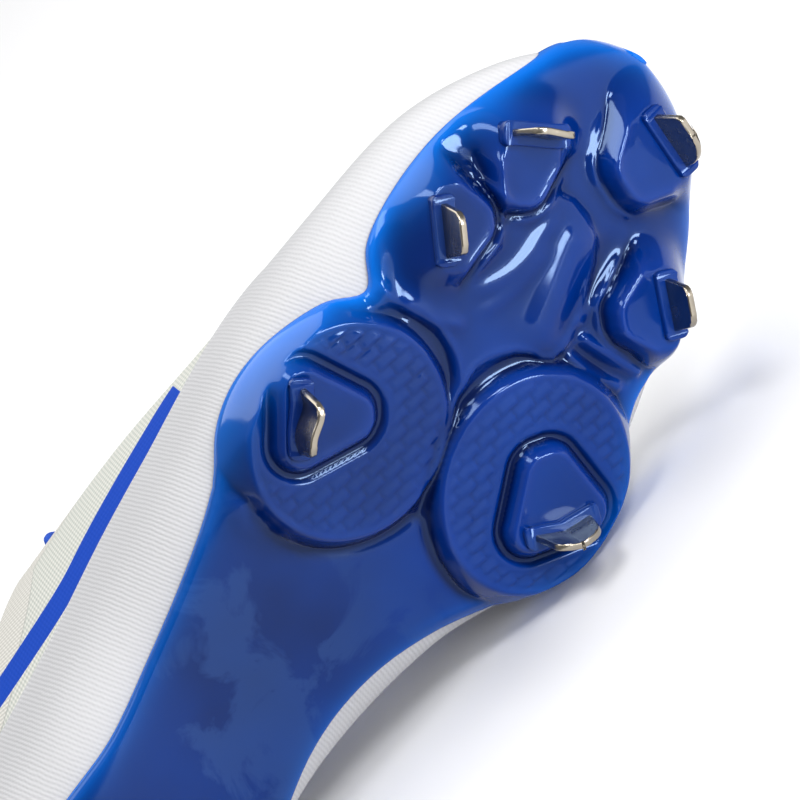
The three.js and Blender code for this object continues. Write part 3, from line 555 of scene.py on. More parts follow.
# Ridges and grooves: points in mm, height below the face, half width
flutes = [
    ([(-5, 254), (-7, 240), (-9, 228), (-10, 217)], 1.9, 5.5),
    ([(14, 221), (8, 226), (4, 233), (2.5, 243), (2, 254)], 0.9, 2.2),
    ([(8, 217), (4, 224), (1, 233), (0, 244)], 0.7, 1.8),
    ([(19, 223), (14, 230), (11, 238)], 0.7, 2.0),
    ([(-17, 221), (-15.5, 232), (-15, 243), (-17, 257)], -1.1, 3.6),
    ([(34, 153), (27, 151), (20, 151), (12, 154)], 2.6, 4.2),
    ([(-21, 222.5), (-28, 222), (-37, 222.5)], 1.3, 1.3),
    ([(-22, 228), (-30, 228), (-40, 228.5)], 1.3, 1.3),
    ([(-22, 225.2), (-30, 225.2), (-39, 225.5)], -0.8, 1.3),
    ([(-18.5, 231), (-19, 238), (-22, 244)], 0.8, 1.3),
]
# the same, over the mounts' feet
creases = [
    ([(33, 215.6), (26, 215), (18, 215.6)], -0.8, 1.3),
    ([(34, 211.8), (27, 211.2), (20, 212), (13, 213.4), (7, 215.5)], 1.2, 1.7),
    ([(36, 207.5), (28, 206.5), (20, 208.5)], -0.5, 1.6),
]


# Shapes the plate's face: x, y in plan, z the plain face, edge the distance from the plate's edge
def plateRelief(x, y, z, edge):
    plain = z.copy()
    webLine = smoothLine([(u * ball, v * length) for u, v in web], True, 3)
    webAway = outlineDistance(x, y, webLine)
    z = z - plate["webRise"] * smoothStep(1.6, -1.2, webAway)
    z = z - ridgeLine(webAway, plate["webRim"]) * smoothStep(*plate["webFades"], y)
    for points, tall, half in flutes:
        away, share = lineDistance(x, y, smoothLine(points, False, 5))
        taper = smoothStep(0, 0.22, share) * smoothStep(1, 0.78, share) if half > 1.35 else 1
        z = z - ridgeLine(away, (tall, 0, half)) * taper
    # a bead along the edge around the ball
    bead = smoothStep(*plate["beadStarts"], y) * smoothStep(*plate["beadStops"], y)
    z = z - ridgeLine(edge, plate["bead"]) * bead
    # pods, with the moats around their mounts
    for pod, mount in zip(pods, (mounts[4], mounts[5])):
        cx, cy = pod["across"] * ball, pod["along"] * length
        face = float(under(cx * 0.5, cy, plateGrow)) - plate["podRise"]
        u = (x - cx) * math.cos(podHeading) + (y - cy) * math.sin(podHeading)
        v = (y - cy) * math.cos(podHeading) - (x - cx) * math.sin(podHeading)
        radius = np.hypot(u / pod["halfLong"], v / pod["halfShort"])
        away = (radius - 1) * (pod["halfLong"] + pod["halfShort"]) / 2
        z = z + ridgeLine(away, plate["podDitch"]) * smoothStep(4, 9, edge)
        brickLong, brickWide, brickHigh = plate["brick"]
        heading = plate["brickTurn"]
        along = ((x - cx) * math.cos(heading) + (y - cy) * math.sin(heading)) / brickLong
        over = ((y - cy) * math.cos(heading) - (x - cx) * math.sin(heading)) / brickWide
        row = np.floor(over)
        one = (along + 0.5 * (row % 2)) % 1
        two = over - row
        tilt = 0.75 * two + 0.25 * one
        bricks = brickHigh * tilt * smoothStep(1, 0.8, two)
        bricks = bricks * smoothStep(1, 0.86, one) * smoothStep(0, 0.08, one)
        lm, vm = localOf(mount, x, y)
        fromFace = outlineDistance(lm, vm, mount["core"]) - faceCorner
        share = mount["foot"] / mount["rise"]
        moat = share * (mount["rise"] - plate["podRise"]) + plate["moatWidth"]
        inMoat = smoothStep(moat + 0.3, moat - 0.9, fromFace)
        calm = smoothStep(-1.2, -3, away) * smoothStep(moat + 1.2, moat + 3, fromFace)
        podFace = face - bricks * calm + plate["moatDepth"] * inMoat
        podFace = podFace - ridgeLine(fromFace - moat, plate["moatLip"])
        podFace = podFace - ridgeLine(away, plate["podRing"])
        podFace = podFace + 1.9 * smoothMax(away, np.zeros_like(away), 0.5)
        z = smoothMin(z, podFace, 0.7)
    # mounts
    for mount in mounts:
        u, v = localOf(mount, x, y)
        away = outlineDistance(u, v, mount["core"]) - faceCorner
        onPod = mount["name"].startswith("ball")
        face = mount["base"] + math.tan(mount["spring"]) * (y - mount["y"])
        steep = mount["rise"] / mount["foot"]
        point = smoothStep(0.1 * mount["depth"], 0.5 * mount["depth"], v)
        shoulder = 1.0 if onPod else 3.0 - 2.3 * point
        hill = face + steep * smoothMax(away, np.zeros_like(away), shoulder)
        crease = ridgeLine(away, plate["faceCrease"]) - 0.2 * smoothStep(-1.2, -3.5, away)
        hill = hill - crease * (1 if onPod else point)
        if not onPod and mount["along"] > 0.5:
            # crisp lip and groove at the hill's foot, on its point's side
            reach = 0.62 * mount["foot"]
            tipward = smoothStep(0.4 * mount["depth"], 0.85 * mount["depth"], v)
            z = z - ridgeLine(away - reach, plate["hillLip"]) * tipward
            z = z - 0.4 * smoothStep(reach + 5, reach + 2, away) * tipward
        z = smoothMin(z, hill, 0.8 if onPod else 2.2 - point)
    for points, tall, half in creases:
        away, share = lineDistance(x, y, smoothLine(points, False, 5))
        z = z - ridgeLine(away, (tall, 0, half)) * smoothStep(0, 0.15, share) * smoothStep(1, 0.85, share)
    # the edge leans in and is round
    lean = plate["ballLean"] * smoothStep(*plate["leanStarts"], y) * smoothStep(*plate["beadStops"], y)
    blend = 1.2 + 1.8 * smoothStep(*plate["toeStarts"], y)
    z = smoothMax(z, plain - (plate["edgeLean"] + lean) * edge, blend)
    r = plate["edgeRound"]
    return z + np.where(edge < r, r - np.sqrt(np.maximum(0, r * r - (r - edge) ** 2)), 0)


def makePlate(material):
    rows, steps = plateRows()
    x, y, z = rows[..., 0], rows[..., 1], rows[..., 2]
    rim = np.vstack([rows[::3, -1, :2], rows[-1:, -1, :2], rows[::-3, 0, :2]])
    edge = np.maximum(0, -outlineDistance(x, y, rim))
    edge[:, 0] = edge[:, -1] = edge[0] = 0
    shaped = plateRelief(x, y, z, edge)
    # the mounts' outer shoulders are soft
    soft = np.zeros_like(x)
    for mount in mounts[:4]:
        u, v = localOf(mount, x, y)
        away = outlineDistance(u, v, mount["core"]) - faceCorner
        soft = np.maximum(soft, smoothStep(-3, 0.5, away) * smoothStep(11, 6, away)
                          * smoothStep(0.4 * mount["depth"], 0.1 * mount["depth"], v))
    soft = soft[1:-1, 1:-1]
    for _ in range(40):
        shaped[1:-1, 1:-1] += (eased(shaped) - shaped[1:-1, 1:-1]) * soft
    outer = np.stack([x, y, shaped], -1)
    # how far each place stands out of or lies below what is around it, which paints shade into the hollows
    # and light onto raised places
    smooth = shaped - z
    for _ in range(26):
        smooth[1:-1, 1:-1] = eased(smooth)
    paintedReliefShade = (shaped - z) - smooth
    # inner face and the walls between them
    lateralIn = np.minimum(x[:, -1], column("lateral", steps) * ball + shoe["gap"])
    medialIn = np.maximum(x[:, 0], column("medial", steps) * ball - shoe["gap"])
    innerShares = np.linspace(0, 1, 9)
    innerX = lateralIn[:, None] + (medialIn - lateralIn)[:, None] * innerShares
    innerY = y[:, -1:] + (y[:, :1] - y[:, -1:]) * innerShares
    innerZ = np.maximum(under(innerX, np.clip(innerY, 1, length - 0.5), shoe["gap"]), 0)
    inner = np.stack([innerX, innerY, innerZ], -1)
    walls = np.linspace(0, 1, 5)[1:-1, None]
    lateralWall = outer[:, -1:] * (1 - walls) + inner[:, :1] * walls
    medialWall = inner[:, -1:] * (1 - walls) + outer[:, :1] * walls
    ring = np.concatenate([outer, lateralWall, inner, medialWall, outer[:, :1]], 1)
    extra = ring.shape[1] - outer.shape[1]
    rimShare = np.exp(-edge / 3.0) * (0.55 + 0.45 * smoothStep(140, 190, y))
    values = {
        "rim": np.pad(rimShare, ((0, 0), (0, extra)), constant_values=1),
        "paintedReliefShade": np.pad(paintedReliefShade, ((0, 0), (0, extra))),
        "foreAft": ring[..., 1] / length,
    }
    piece = gridPiece("plateFace", rowOf(ring), material, ring[..., :2] / 100, values, seam=1e-5)
    addSockets(piece)
    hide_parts("outsole_plate")


# Sideways place of a blade's middle at u along it
def bladeBend(mount, u):
    share = 2 * u / mount["blade"]
    return mount["kink"] * (1 - abs(share)) + mount["wave"] * math.sin(math.pi * share)


# Raised bars around the blades' roots, joined to the plate
bar = {"rise": 1.6, "margin": 2.2, "wide": 6.0, "tall": 5, "corner": 1.7, "round": 0.5}


def addSockets(piece):
    bm = bmesh.new()
    bm.from_mesh(piece.data)
    for mount in mounts:
        part = bmesh.new()
        bmesh.ops.create_grid(part, x_segments=14, y_segments=1, size=0.5)
        long = mount["blade"] + 2 * bar["margin"]
        wide = bar["wide"]
        extruded = bmesh.ops.extrude_face_region(part, geom=part.faces[:])["geom"]
        raised = [v for v in extruded if isinstance(v, bmesh.types.BMVert)]
        bmesh.ops.translate(part, verts=raised, vec=(0, 0, 1))
        corners = [e for e in part.edges if abs(e.verts[0].co.z - e.verts[1].co.z) > 0.5
                   and abs(abs(e.verts[0].co.x) - 0.5) < 1e-4 and abs(abs(e.verts[0].co.y) - 0.5) < 1e-4]
        for v in part.verts:
            u = v.co.x * long
            bend = bladeBend(mount, u * 0.9) * (0.35 if mount["wave"] else 1)
            v.co = (u, v.co.y * wide + bend, v.co.z * bar["tall"] - bar["rise"])
        bmesh.ops.bevel(part, geom=corners, offset=bar["corner"], segments=4, profile=0.5,
                        affect="EDGES", material=-1)
        low = [e for e in part.edges if all(abs(v.co.z + bar["rise"]) < 1e-4 for v in e.verts)
               and len(e.link_faces) == 2 and e.calc_face_angle(0) > 1]
        bmesh.ops.bevel(part, geom=low, offset=bar["round"], segments=3, profile=0.5,
                        affect="EDGES", material=-1)
        bmesh.ops.recalc_face_normals(part, faces=part.faces)
        for v in part.verts:
            v.co = Vector(rowOf(mount["frame"] @ v.co))
        scratch = bpy.data.meshes.new("socket")
        part.to_mesh(scratch)
        part.free()
        before = len(bm.faces)
        bm.from_mesh(scratch)
        bm.faces.ensure_lookup_table()
        # the sockets count as raised places, so they get painted light
        layer = bm.verts.layers.float.get("paintedReliefShade")
        for f in bm.faces[before:]:
            f.smooth = True
            for v in f.verts:
                v[layer] = -0.5
        bpy.data.meshes.remove(scratch)
    bm.to_mesh(piece.data)
    bm.free()


# Blades: a flat sheet bent to its line, given its thickness, its rims bevelled
blade = {"rim": 0.32, "sunk": 1.5, "thick": 1.7, "taper": 1.6}
# how round the two lower corners are
bladeCorners = {"toe_medial": (0.9, 6.5), "ball_medial": (4.5, 3.0), "ball_lateral": (2.2, 2.6)}
plainCorners = (2.0, 2.6)


def makeBlade(mount, material):
    bm = bmesh.new()
    bmesh.ops.create_grid(bm, x_segments=26, y_segments=16, size=0.5)
    tall = mount["drop"] + blade["sunk"]
    left, right = bladeCorners.get(mount["name"], plainCorners)
    for v in bm.verts:
        down = 0.5 - v.co.y
        fall = down * tall
        half = mount["blade"] / 2 - blade["taper"] * max(0, fall - blade["sunk"]) / mount["drop"]
        corner = left if v.co.x < 0 else right
        near = max(0, fall - (tall - corner))
        half -= corner - math.sqrt(max(0, corner * corner - near * near))
        u = 2 * v.co.x * half
        v.co = (u, bladeBend(mount, u), -bar["rise"] + blade["sunk"] - fall)
    bmesh.ops.recalc_face_normals(bm, faces=bm.faces)
    bmesh.ops.solidify(bm, geom=bm.faces[:] + bm.edges[:] + bm.verts[:], thickness=blade["thick"])
    shift = sum((v.co.y - bladeBend(mount, v.co.x) for v in bm.verts)) / len(bm.verts)
    bmesh.ops.translate(bm, verts=bm.verts, vec=(0, -shift, 0))
    sharp = [e for e in bm.edges if len(e.link_faces) == 2 and e.calc_face_angle(0) > 1]
    bmesh.ops.bevel(bm, geom=sharp, offset=blade["rim"], segments=2, profile=0.5,
                    affect="EDGES", material=-1)
    bmesh.ops.recalc_face_normals(bm, faces=bm.faces)
    for v in bm.verts:
        v.co = Vector(rowOf(mount["frame"] @ v.co))
    piece = finished("blade_" + mount["name"], bm, material)
    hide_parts("spike_" + mount["name"])


# Plate's plastic: royal blue, azure towards the thin edges, painted shade (navy) in the hollows and painted
# light on raised places
plastic = {
    "base": (0.003, 0.03, 0.3),
    "roughness": 0.1,
    "reflectionTint": (0.46, 0.66, 1, 1),
    "dark": (0.0, 0.008, 0.08),
    "light": (0.0, 0.022, 0.175),
    # painted reflection for the waist
    "paintedReflection": (0.02, 0.055, 0.19),
    # painted shade for the hollows and painted light for raised places
    "deep": (0.0, 0.004, 0.045),
    "paintedLight": (0.008, 0.034, 0.24),
    "rim": (0.0, 0.14, 0.62),
}


def plateMaterial():
    material, tree, shader = newMaterial("mouldedBlue", plastic["base"], plastic["roughness"],
                                         Specular_IOR_Level=0.5, Specular_Tint=plastic["reflectionTint"])
    place = addNode(tree, "ShaderNodeTexCoord").outputs["Object"]
    cloud = rampOf(tree, noiseOf(tree, place, Scale=14, Detail=3, Roughness=0.55), 0.35, 0.65)
    tone = mixColour(tree, cloud, plastic["dark"], plastic["light"])
    # painted reflection: pale lavender clouds on the waist's clear plastic
    paintedReflection = rampOf(tree, noiseOf(tree, place, Scale=42, Detail=5, Roughness=0.6, Distortion=0.8), 0.49, 0.56)
    waist = rampOf(tree, attributeOf(tree, "foreAft"), 0.56, 0.46)
    tone = mixColour(tree, times(tree, times(tree, paintedReflection, waist), 0.4), tone, plastic["paintedReflection"])
    paintedReliefShade = attributeOf(tree, "paintedReliefShade")
    # painted shade: navy in the hollows; painted light: a lighter blue on raised places
    tone = mixColour(tree, times(tree, paintedReliefShade, 0.95, True), tone, plastic["deep"])
    tone = mixColour(tree, times(tree, times(tree, paintedReliefShade, -1.0), 0.3, True), tone, plastic["paintedLight"])
    edgeShare = math2(tree, "POWER", attributeOf(tree, "rim"), 1.25, True)
    tone = mixColour(tree, times(tree, edgeShare, 0.95), tone, plastic["rim"])
    tree.links.new(tone, shader.inputs["Base Color"])
    grain = times(tree, noiseOf(tree, place, Scale=900, Detail=2), 0.02)
    swell = noiseOf(tree, place, Scale=60, Detail=1)
    bumpOn(tree, shader, plus(tree, grain, swell), 0.12, 0.0006)
    return material


# Dark steel, brushed and a little stained
steelLook = {
    "base": (0.36, 0.32, 0.26),
    "dark": (0.3, 0.27, 0.23),
    "light": (0.44, 0.39, 0.31),
    "roughness": (0.16, 0.34),
}


def bladeMaterial():
    material, tree, shader = newMaterial("darkSteel", steelLook["base"], 0.24, Metallic=1)
    place = addNode(tree, "ShaderNodeTexCoord").outputs["Object"]
    brushed = addNode(tree, "ShaderNodeMapping", {"Vector": place}, Scale=(2500, 2500, 250)).outputs[0]
    stain = noiseOf(tree, place, Scale=220, Detail=3)
    tone = mixColour(tree, stain, steelLook["dark"], steelLook["light"])
    tree.links.new(tone, shader.inputs["Base Color"])
    low, high = steelLook["roughness"]
    rough = addNode(tree, "ShaderNodeMapRange", {"Value": stain}, To_Min=low, To_Max=high)
    tree.links.new(rough.outputs[0], shader.inputs["Roughness"])
    bumpOn(tree, shader, noiseOf(tree, brushed, Scale=1, Detail=3), 0.12, 0.00008)
    return material


blue = plateMaterial()
makePlate(blue)
print("plate made")
steel = bladeMaterial()
for mount in mounts:
    makeBlade(mount, steel)
print("blades made")

# Upper: a shell from the middle of its underside up each side to the collar and the throat, and back inside
upper = {
    "topline": [(-0.06, 0.77), (0.01, 0.75), (0.05, 0.69), (0.1, 0.6), (0.15, 0.56), (0.205, 0.58),
                (0.26, 0.66), (0.305, 0.76), (0.345, 0.87), (0.385, 1.08)],
    "randEdge": [(-0.05, 0.4), (0.05, 0.4), (0.15, 0.36), (0.3, 0.36), (0.42, 0.37), (0.52, 0.34),
                 (0.62, 0.32), (0.72, 0.34), (0.82, 0.42), (0.88, 0.5), (1.1, 0.9)],
    "throatTop": 0.35,
    "throatEnd": 0.69,
    "throatTopHalf": 19,
    "throatEndHalf": 7,
    "eyeletPairs": 6,
    "eyeletInset": 6,
    "eyeletRadius": 2,
    "stepWide": 0.5,  # how wide the rand's step is
    "lip": 0.25,  # how far the rand's edge stands out
    "eyestay": 26,  # width of the panel along the throat
    # the plain band's lower edge in the side view, and how wide it is
    "band": [(0.1, 0.56), (0.2, 0.49), (0.29, 0.43), (0.37, 0.385), (0.42, 0.385), (0.52, 0.355),
             (0.565, 0.345)],
    "bandWide": 12,
    # the grid: rows from, to and how many, then the toe's rows
    "rowParts": [(0, 0, 1), (0.15, 6, 12), (7.5, 120, 62), (122, 192, 44), (192.6, 202.4, 34),
                 (204, 284, 52)],
    "toeRows": (285, 12),
    # columns under the foot, up to the rand's edge, over it, around the rim and down the lining
    "underColumns": 15,
    "randColumns": 26,
    "quarterColumns": 34,
    "rimColumns": 7,
    "liningColumns": 30,
}
throatTop = upper["throatTop"] * length
throatEnd = upper["throatEnd"] * length


def sideLine(name):
    return smoothLine([(u * length, v * instep) for u, v in upper[name]], False, 12)


def throatHalf(y):
    share = np.clip((y - throatTop) / (throatEnd - throatTop), 0, 1)
    return upper["throatTopHalf"] + (upper["throatEndHalf"] - upper["throatTopHalf"]) * share


def ridgeAt(y):
    return column("ridge", stepOf(y)) * ball


eyeletPlaces = np.linspace(throatTop + 0.035 * length, throatEnd - 0.06 * length, upper["eyeletPairs"])


# Thickness of the upper's wall, padded inside the collar
def upperWall(t, a):
    fade = np.clip((0.3 * length - alongOf(t)) / (0.1 * length), 0, 1)
    return shoe["wall"] + shoe["collarPad"] * fade * smoothStep(0.15, 0.4, np.maximum(0, np.sin(a)))


# Angle where a section reaches a line in the side view
def angleAtHeight(t, line, lower=0.0):
    widest = column("widest", t) * instep
    reach = column("crown", t) * instep - shoe["quarterStep"] - widest
    y = alongOf(t)
    z = np.interp(y, line[:, 0], line[:, 1]) - lower
    for _ in range(12):
        z = 0.5 * z + 0.5 * (np.interp(y + heelShift(y, z), line[:, 0], line[:, 1]) - lower)
    share = np.clip((z - widest) / reach, 0, 1)
    return np.arcsin(share ** (column("roof", t) / 2))


def angleAtThroat(t, side, margin):
    y = alongOf(t)
    bend = upper["throatEndHalf"] + 0.25 + margin
    past = y - (throatEnd - upper["throatEndHalf"])
    half = np.where(past > 0, np.sqrt(np.maximum(0, bend * bend - past * past)), throatHalf(y) + margin)
    edge = np.abs(column("lateral" if side > 0 else "medial", t) * ball - side * shoe["quarterStep"]
                  - column("ridge", t) * ball)
    share = np.clip(half / edge, 0, 1)
    return np.arccos(share ** (column("roof", t) / 2))


# One side's points: columns run up outside, over the rim and down inside
def upperSide(side, t):
    y = alongOf(t)
    # where the outside ends: at the collar, at the throat or at the ridge
    padded = upperWall(t, np.full_like(t, 1.2)) > 3
    topline = sideLine("topline")
    collar = np.where(padded, angleAtHeight(t, topline, 2.6), angleAtHeight(t, topline))
    collar = np.where(y > 0.38 * length, np.pi / 2, collar)
    throat = np.where(y > 0.25 * length, angleAtThroat(t, side, 0.5), np.pi / 2)
    top = np.minimum(np.pi / 2, smoothMin(collar, throat, 0.03))
    shut = (throat > np.pi / 2 - 1e-3) & (y > 0.5 * length)
    top = np.where(shut, np.pi / 2, top)
    rand = angleAtHeight(t, sideLine("randEdge"))
    # the rand's step fades where its edge reaches the ridge
    rising = np.where(shut, smoothStep(0.03, 0.16, top - rand), 1.0)[:, None]
    rand = np.minimum(rand, top - 0.02)
    full = np.linalg.norm(surface(t, rand, 0) - surface(t, rand - 0.01, 0), axis=-1) / 0.01
    slip = upper["stepWide"] / np.maximum(full, 5)
    low = np.linspace(-np.pi / 2, 0, upper["underColumns"] + 1)[:-1]
    low = np.sign(low) * np.abs(low / (np.pi / 2)) ** 0.8 * np.pi / 2
    columns = [np.full_like(t, v) for v in low]
    columns += [(rand - slip) * s for s in np.linspace(0, 1, upper["randColumns"])]
    columns += [rand - slip * (0.5 - s) for s in (0.0, 0.5)]
    columns += [rand + slip + (top - rand - slip) * s for s in np.linspace(0, 1, upper["quarterColumns"])]
    angles = np.stack(columns, 1)
    edge = len(low) + upper["randColumns"]
    grow = np.full(angles.shape, -shoe["quarterStep"])
    grow[:, :edge] = 0
    grow[:, edge - 2:edge + 1] = [0.4 * upper["lip"], upper["lip"], 0.6 * upper["lip"]]
    grow[:, edge + 1] = -0.5 * shoe["quarterStep"]
    outer = surface(t[:, None], angles if side > 0 else np.pi - angles, grow * rising)
    closed = top >= np.pi / 2 - 1e-6
    wallAngles = np.where(closed, np.pi / 2, top)
    inside = -shoe["quarterStep"] - upperWall(t, wallAngles)
    border = outer[:, -1]
    across = surface(t, wallAngles if side > 0 else np.pi - wallAngles, inside) - border
    onward = np.cross(np.gradient(border, axis=0), across) * side
    onward /= np.maximum(np.linalg.norm(onward, axis=1, keepdims=True), 1e-9)
    half = np.where(closed, 0, np.linalg.norm(across, axis=1) / 2)
    rim = []
    for s in np.linspace(0, 1, upper["rimColumns"] + 2)[1:-1]:
        bulge = onward * (half * math.sin(math.pi * s))[:, None]
        rim.append(border + across * (1 - math.cos(math.pi * s)) / 2 + bulge)
    innerShares = np.linspace(1, 0, upper["liningColumns"])
    innerAngles = -np.pi / 2 + (wallAngles[:, None] + np.pi / 2) * innerShares
    innerGrow = -shoe["quarterStep"] - upperWall(t[:, None], innerAngles)
    inner = surface(t[:, None], innerAngles if side > 0 else np.pi - innerAngles, innerGrow)
    points = np.concatenate([outer, np.stack(rim, 1), inner], 1)
    return points, closed, rising, edge, outer.shape[1]


# Presses cloth flat where it would sink into the floor
def overFloor(points):
    points[..., 2] = smoothMax(points[..., 2], 0.00003, 0.0004)
    return points


def makeUpper(material):
    steps = rowSteps(upper)
    bandLine = sideLine("band")
    halves = []
    for name, side in (("upperShell", 1), ("other", -1)):
        points, closed, rising, edge, outside = upperSide(side, steps)
        lengths = np.linalg.norm(np.diff(points, axis=1), axis=2)
        around = np.concatenate([np.zeros((len(points), 1)), np.cumsum(lengths, 1)], 1)
        uv = np.stack([points[..., 1], around], -1)
        y, z = points[..., 1], points[..., 2]
        lining = np.zeros(points.shape[:2])
        lining[:, outside + upper["rimColumns"] // 2:] = 1
        underEdge = np.arange(points.shape[1]) <= edge + 1
        # how deep each place lies within the band
        bandAway, _ = lineDistance(y, z, bandLine)
        bandSide = np.interp(y, bandLine[:, 0], bandLine[:, 1])
        signed = np.where(z > bandSide, bandAway, -bandAway)
        band = upper["bandWide"] / 2 - np.abs(signed - upper["bandWide"] / 2)
        band = np.minimum(band, np.minimum(bandLine[-1, 0] - y, y - bandLine[0, 0]))
        # and within the panel along the throat
        panel = upper["eyestay"] - np.abs(around - around[:, outside:outside + 1])
        values = {
            "lining": lining,
            "rand": np.where(underEdge | (rising < 0.02), 1.0, 0.0),
            "band": np.where(lining > 0, -5, band),
            "eyestay": panel - 60 * smoothStep(196, 206, y) - 99 * lining,
        }
        cut = np.zeros(points.shape[:2], bool)
        cut[:, outside - 1:outside + upper["rimColumns"] + 1] = closed[:, None]
        halves.append(gridPiece(name, overFloor(rowOf(points)), material, uv, values, cut, False))
    first, second = halves
    bm = bmesh.new()
    bm.from_mesh(first.data)
    bm.from_mesh(second.data)
    bpy.data.objects.remove(second)
    bmesh.ops.remove_doubles(bm, verts=[v for v in bm.verts if v.is_boundary], dist=3e-5)
    bmesh.ops.holes_fill(bm, edges=[e for e in bm.edges if e.is_boundary], sides=0)
    bmesh.ops.recalc_face_normals(bm, faces=bm.faces)
    bm.to_mesh(first.data)
    bm.free()
    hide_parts("upper")
    return first


# Where an eyelet meets the quarter's surface, and the way out of it
def eyeletAt(y, side):
    x = ridgeAt(y) + side * (throatHalf(y) + upper["eyeletInset"])
    slopeX = (above(x + 1, y, 0) - above(x - 1, y, 0)) / 2
    slopeY = (above(x, y + 1, 0) - above(x, y - 1, 0)) / 2
    return Vector((x, y, above(x, y, -shoe["quarterStep"]))), Vector((-slopeX, -slopeY, 1)).normalized()


# Punches the eyelets through the upper
def punchEyelets(piece):
    bm = bmesh.new()
    radius = upper["eyeletRadius"]
    for y in eyeletPlaces:
        for side in (1, -1):
            at, out = eyeletAt(y, side)
            turn = out.to_track_quat("Z", "Y").to_matrix().to_4x4()
            bmesh.ops.create_cone(bm, cap_ends=True, segments=20, radius1=radius, radius2=radius, depth=14,
                                  matrix=Matrix.Translation(at) @ turn)
    for v in bm.verts:
        v.co = Vector(rowOf(v.co))
    bmesh.ops.recalc_face_normals(bm, faces=bm.faces)
    mesh = bpy.data.meshes.new("punch")
    bm.to_mesh(mesh)
    bm.free()
    punch = bpy.data.objects.new("punch", mesh)
    bpy.context.scene.collection.objects.link(punch)
    cutter = piece.modifiers.new("eyelets", "BOOLEAN")
    cutter.object = punch
    cutter.operation = "DIFFERENCE"
    cutter.solver = "EXACT"
    bpy.context.view_layer.update()
    shaped = bpy.data.meshes.new_from_object(piece.evaluated_get(bpy.context.evaluated_depsgraph_get()))
    piece.modifiers.remove(cutter)
    shaped.name = piece.data.name
    piece.data = shaped
    bpy.data.objects.remove(punch)


# Tongue: a padded slab under the lacing, its upper end rounded
tongue = {
    "end": throatEnd + 0.035 * length,
    "spread": 9,
    "under": -3.25,  # its face under the eyestay, from the rand's surface
    "middle": 1.0,
    "back": -6.2,
    "cut": [(0.3, 1.02), (0.312, 0.93), (0.335, 0.78), (0.375, 0.6)],  # its upper end in the side view
    "quilt": (0.35, 9.5),  # height and pitch of its soft waves
    "rows": 150,
    "columns": 60,
}


def makeTongue(material):
    cut = np.array(tongue["cut"])[::-1] * (length, instep)
    s = np.linspace(-1, 1, tongue["columns"])
    start = np.full(tongue["columns"], 0.31 * length)
    for _ in range(20):
        x = ridgeAt(start) + s * (throatHalf(start) + tongue["spread"])
        z = above(x, start, tongue["middle"])
        start = 0.6 * start + 0.4 * np.interp(z, cut[:, 1], cut[:, 0])
    r = np.linspace(0, 1, tongue["rows"])
    r = np.clip(r - 0.35 * np.sin(2 * np.pi * r) / (2 * np.pi), 0, 1)
    y = start + (tongue["end"] - start) * r[:, None]
    spread = tongue["spread"] - 5 * smoothStep(0.93, 1, r)[:, None]
    x = ridgeAt(y) + s * (throatHalf(y) + spread)
    aside = x - ridgeAt(y)
    past = y - (throatEnd - upper["throatEndHalf"])
    fromThroat = np.where(past > 0, np.hypot(aside, past) - upper["throatEndHalf"] + 0.6,
                          np.abs(aside) - (throatHalf(y) - 0.6))
    face = tongue["middle"] + (tongue["under"] - tongue["middle"]) * smoothStep(-1.6, 0.2, fromThroat)
    toSide = (1 - np.abs(s)) * (throatHalf(y) + spread)
    toEnd = np.minimum(r, 1 - r)[:, None] * (tongue["end"] - start)
    full = smoothMin(np.clip(toSide / 2.2, 0, 1), np.clip(toEnd / 2.4, 0, 1), 0.1)
    full = np.sqrt(np.maximum(0, 1 - (1 - np.clip(full, 0, 1)) ** 2))
    full[0] = full[-1] = 0
    full[:, 0] = full[:, -1] = 0
    high, pitch = tongue["quilt"]
    quilt = high * np.cos((y - 90) * 2 * np.pi / pitch) * smoothStep(-1, -4, fromThroat)
    middle = (face + tongue["back"]) / 2
    thick = (face - tongue["back"]) / 2
    front = above(x, y, middle + thick * full + quilt * full - 0.35 * full)
    back = above(x, y, middle - thick * full)
    top = np.stack([x, y, front], -1)
    low = np.stack([x, y, back], -1)
    ring = np.concatenate([top, low[:, ::-1][:, 1:]], 1)
    around = np.concatenate([s * 30, s[::-1][1:] * 30 + 60])
    uv = np.stack([np.broadcast_to(y[:, :1], ring.shape[:2]), np.broadcast_to(around, ring.shape[:2])], -1)
    piece = gridPiece("tonguePad", rowOf(ring), material, uv, seam=1e-5)
    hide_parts("tongue")


# Insole: a layer along the bottom of the inside
insole = {
    "ends": (0.026, 0.963),
    "widthShare": 0.8,
    "thick": 3.8,
    "edgeRound": 1.6,
    "rows": 110,
    "columns": 50,
}


def makeInsole(material):
    grow = -shoe["quarterStep"] - shoe["wall"] - shoe["gap"]
    start, end = [stepOf(share * length) for share in insole["ends"]]
    steps = np.linspace(start, end, insole["rows"])
    y = alongOf(steps)[:, None]
    s = np.linspace(-1, 1, insole["columns"])
    s = np.sign(s) * np.abs(s) ** 0.85
    lateral = (column("lateral", steps) * ball * insole["widthShare"])[:, None]
    medial = (column("medial", steps) * ball * insole["widthShare"])[:, None]
    x = np.where(s > 0, s * lateral, -s * medial)
    low = under(x, y, grow)
    edge = np.minimum((1 - np.abs(s)) * np.abs(lateral), np.minimum(y - y[0], y[-1] - y))
    full = np.sqrt(np.maximum(0, 1 - (1 - np.clip(edge / insole["edgeRound"], 0, 1)) ** 2))
    top = low + 0.1 + insole["thick"] * (0.5 + 0.5 * full)
    over = np.stack([x, y + x * 0, top], -1)
    below = np.stack([x, y + x * 0, low + 0.05], -1)[:, ::-1]
    ring = np.concatenate([over, below, over[:, :1]], 1)
    piece = gridPiece("insoleLayer", rowOf(ring), material, ring[..., :2], seam=1e-5)
    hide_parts("insole")


# Laces: a bar at the low end and crossings above it; each run goes down into its eyelets
# hop and dip: how much one run of a crossing stands over the other
lace = {"radius": 1.5, "lift": 2.9, "arch": 1.2, "hop": 1.4, "dip": -0.9, "depth": 3.2, "sides": 14}


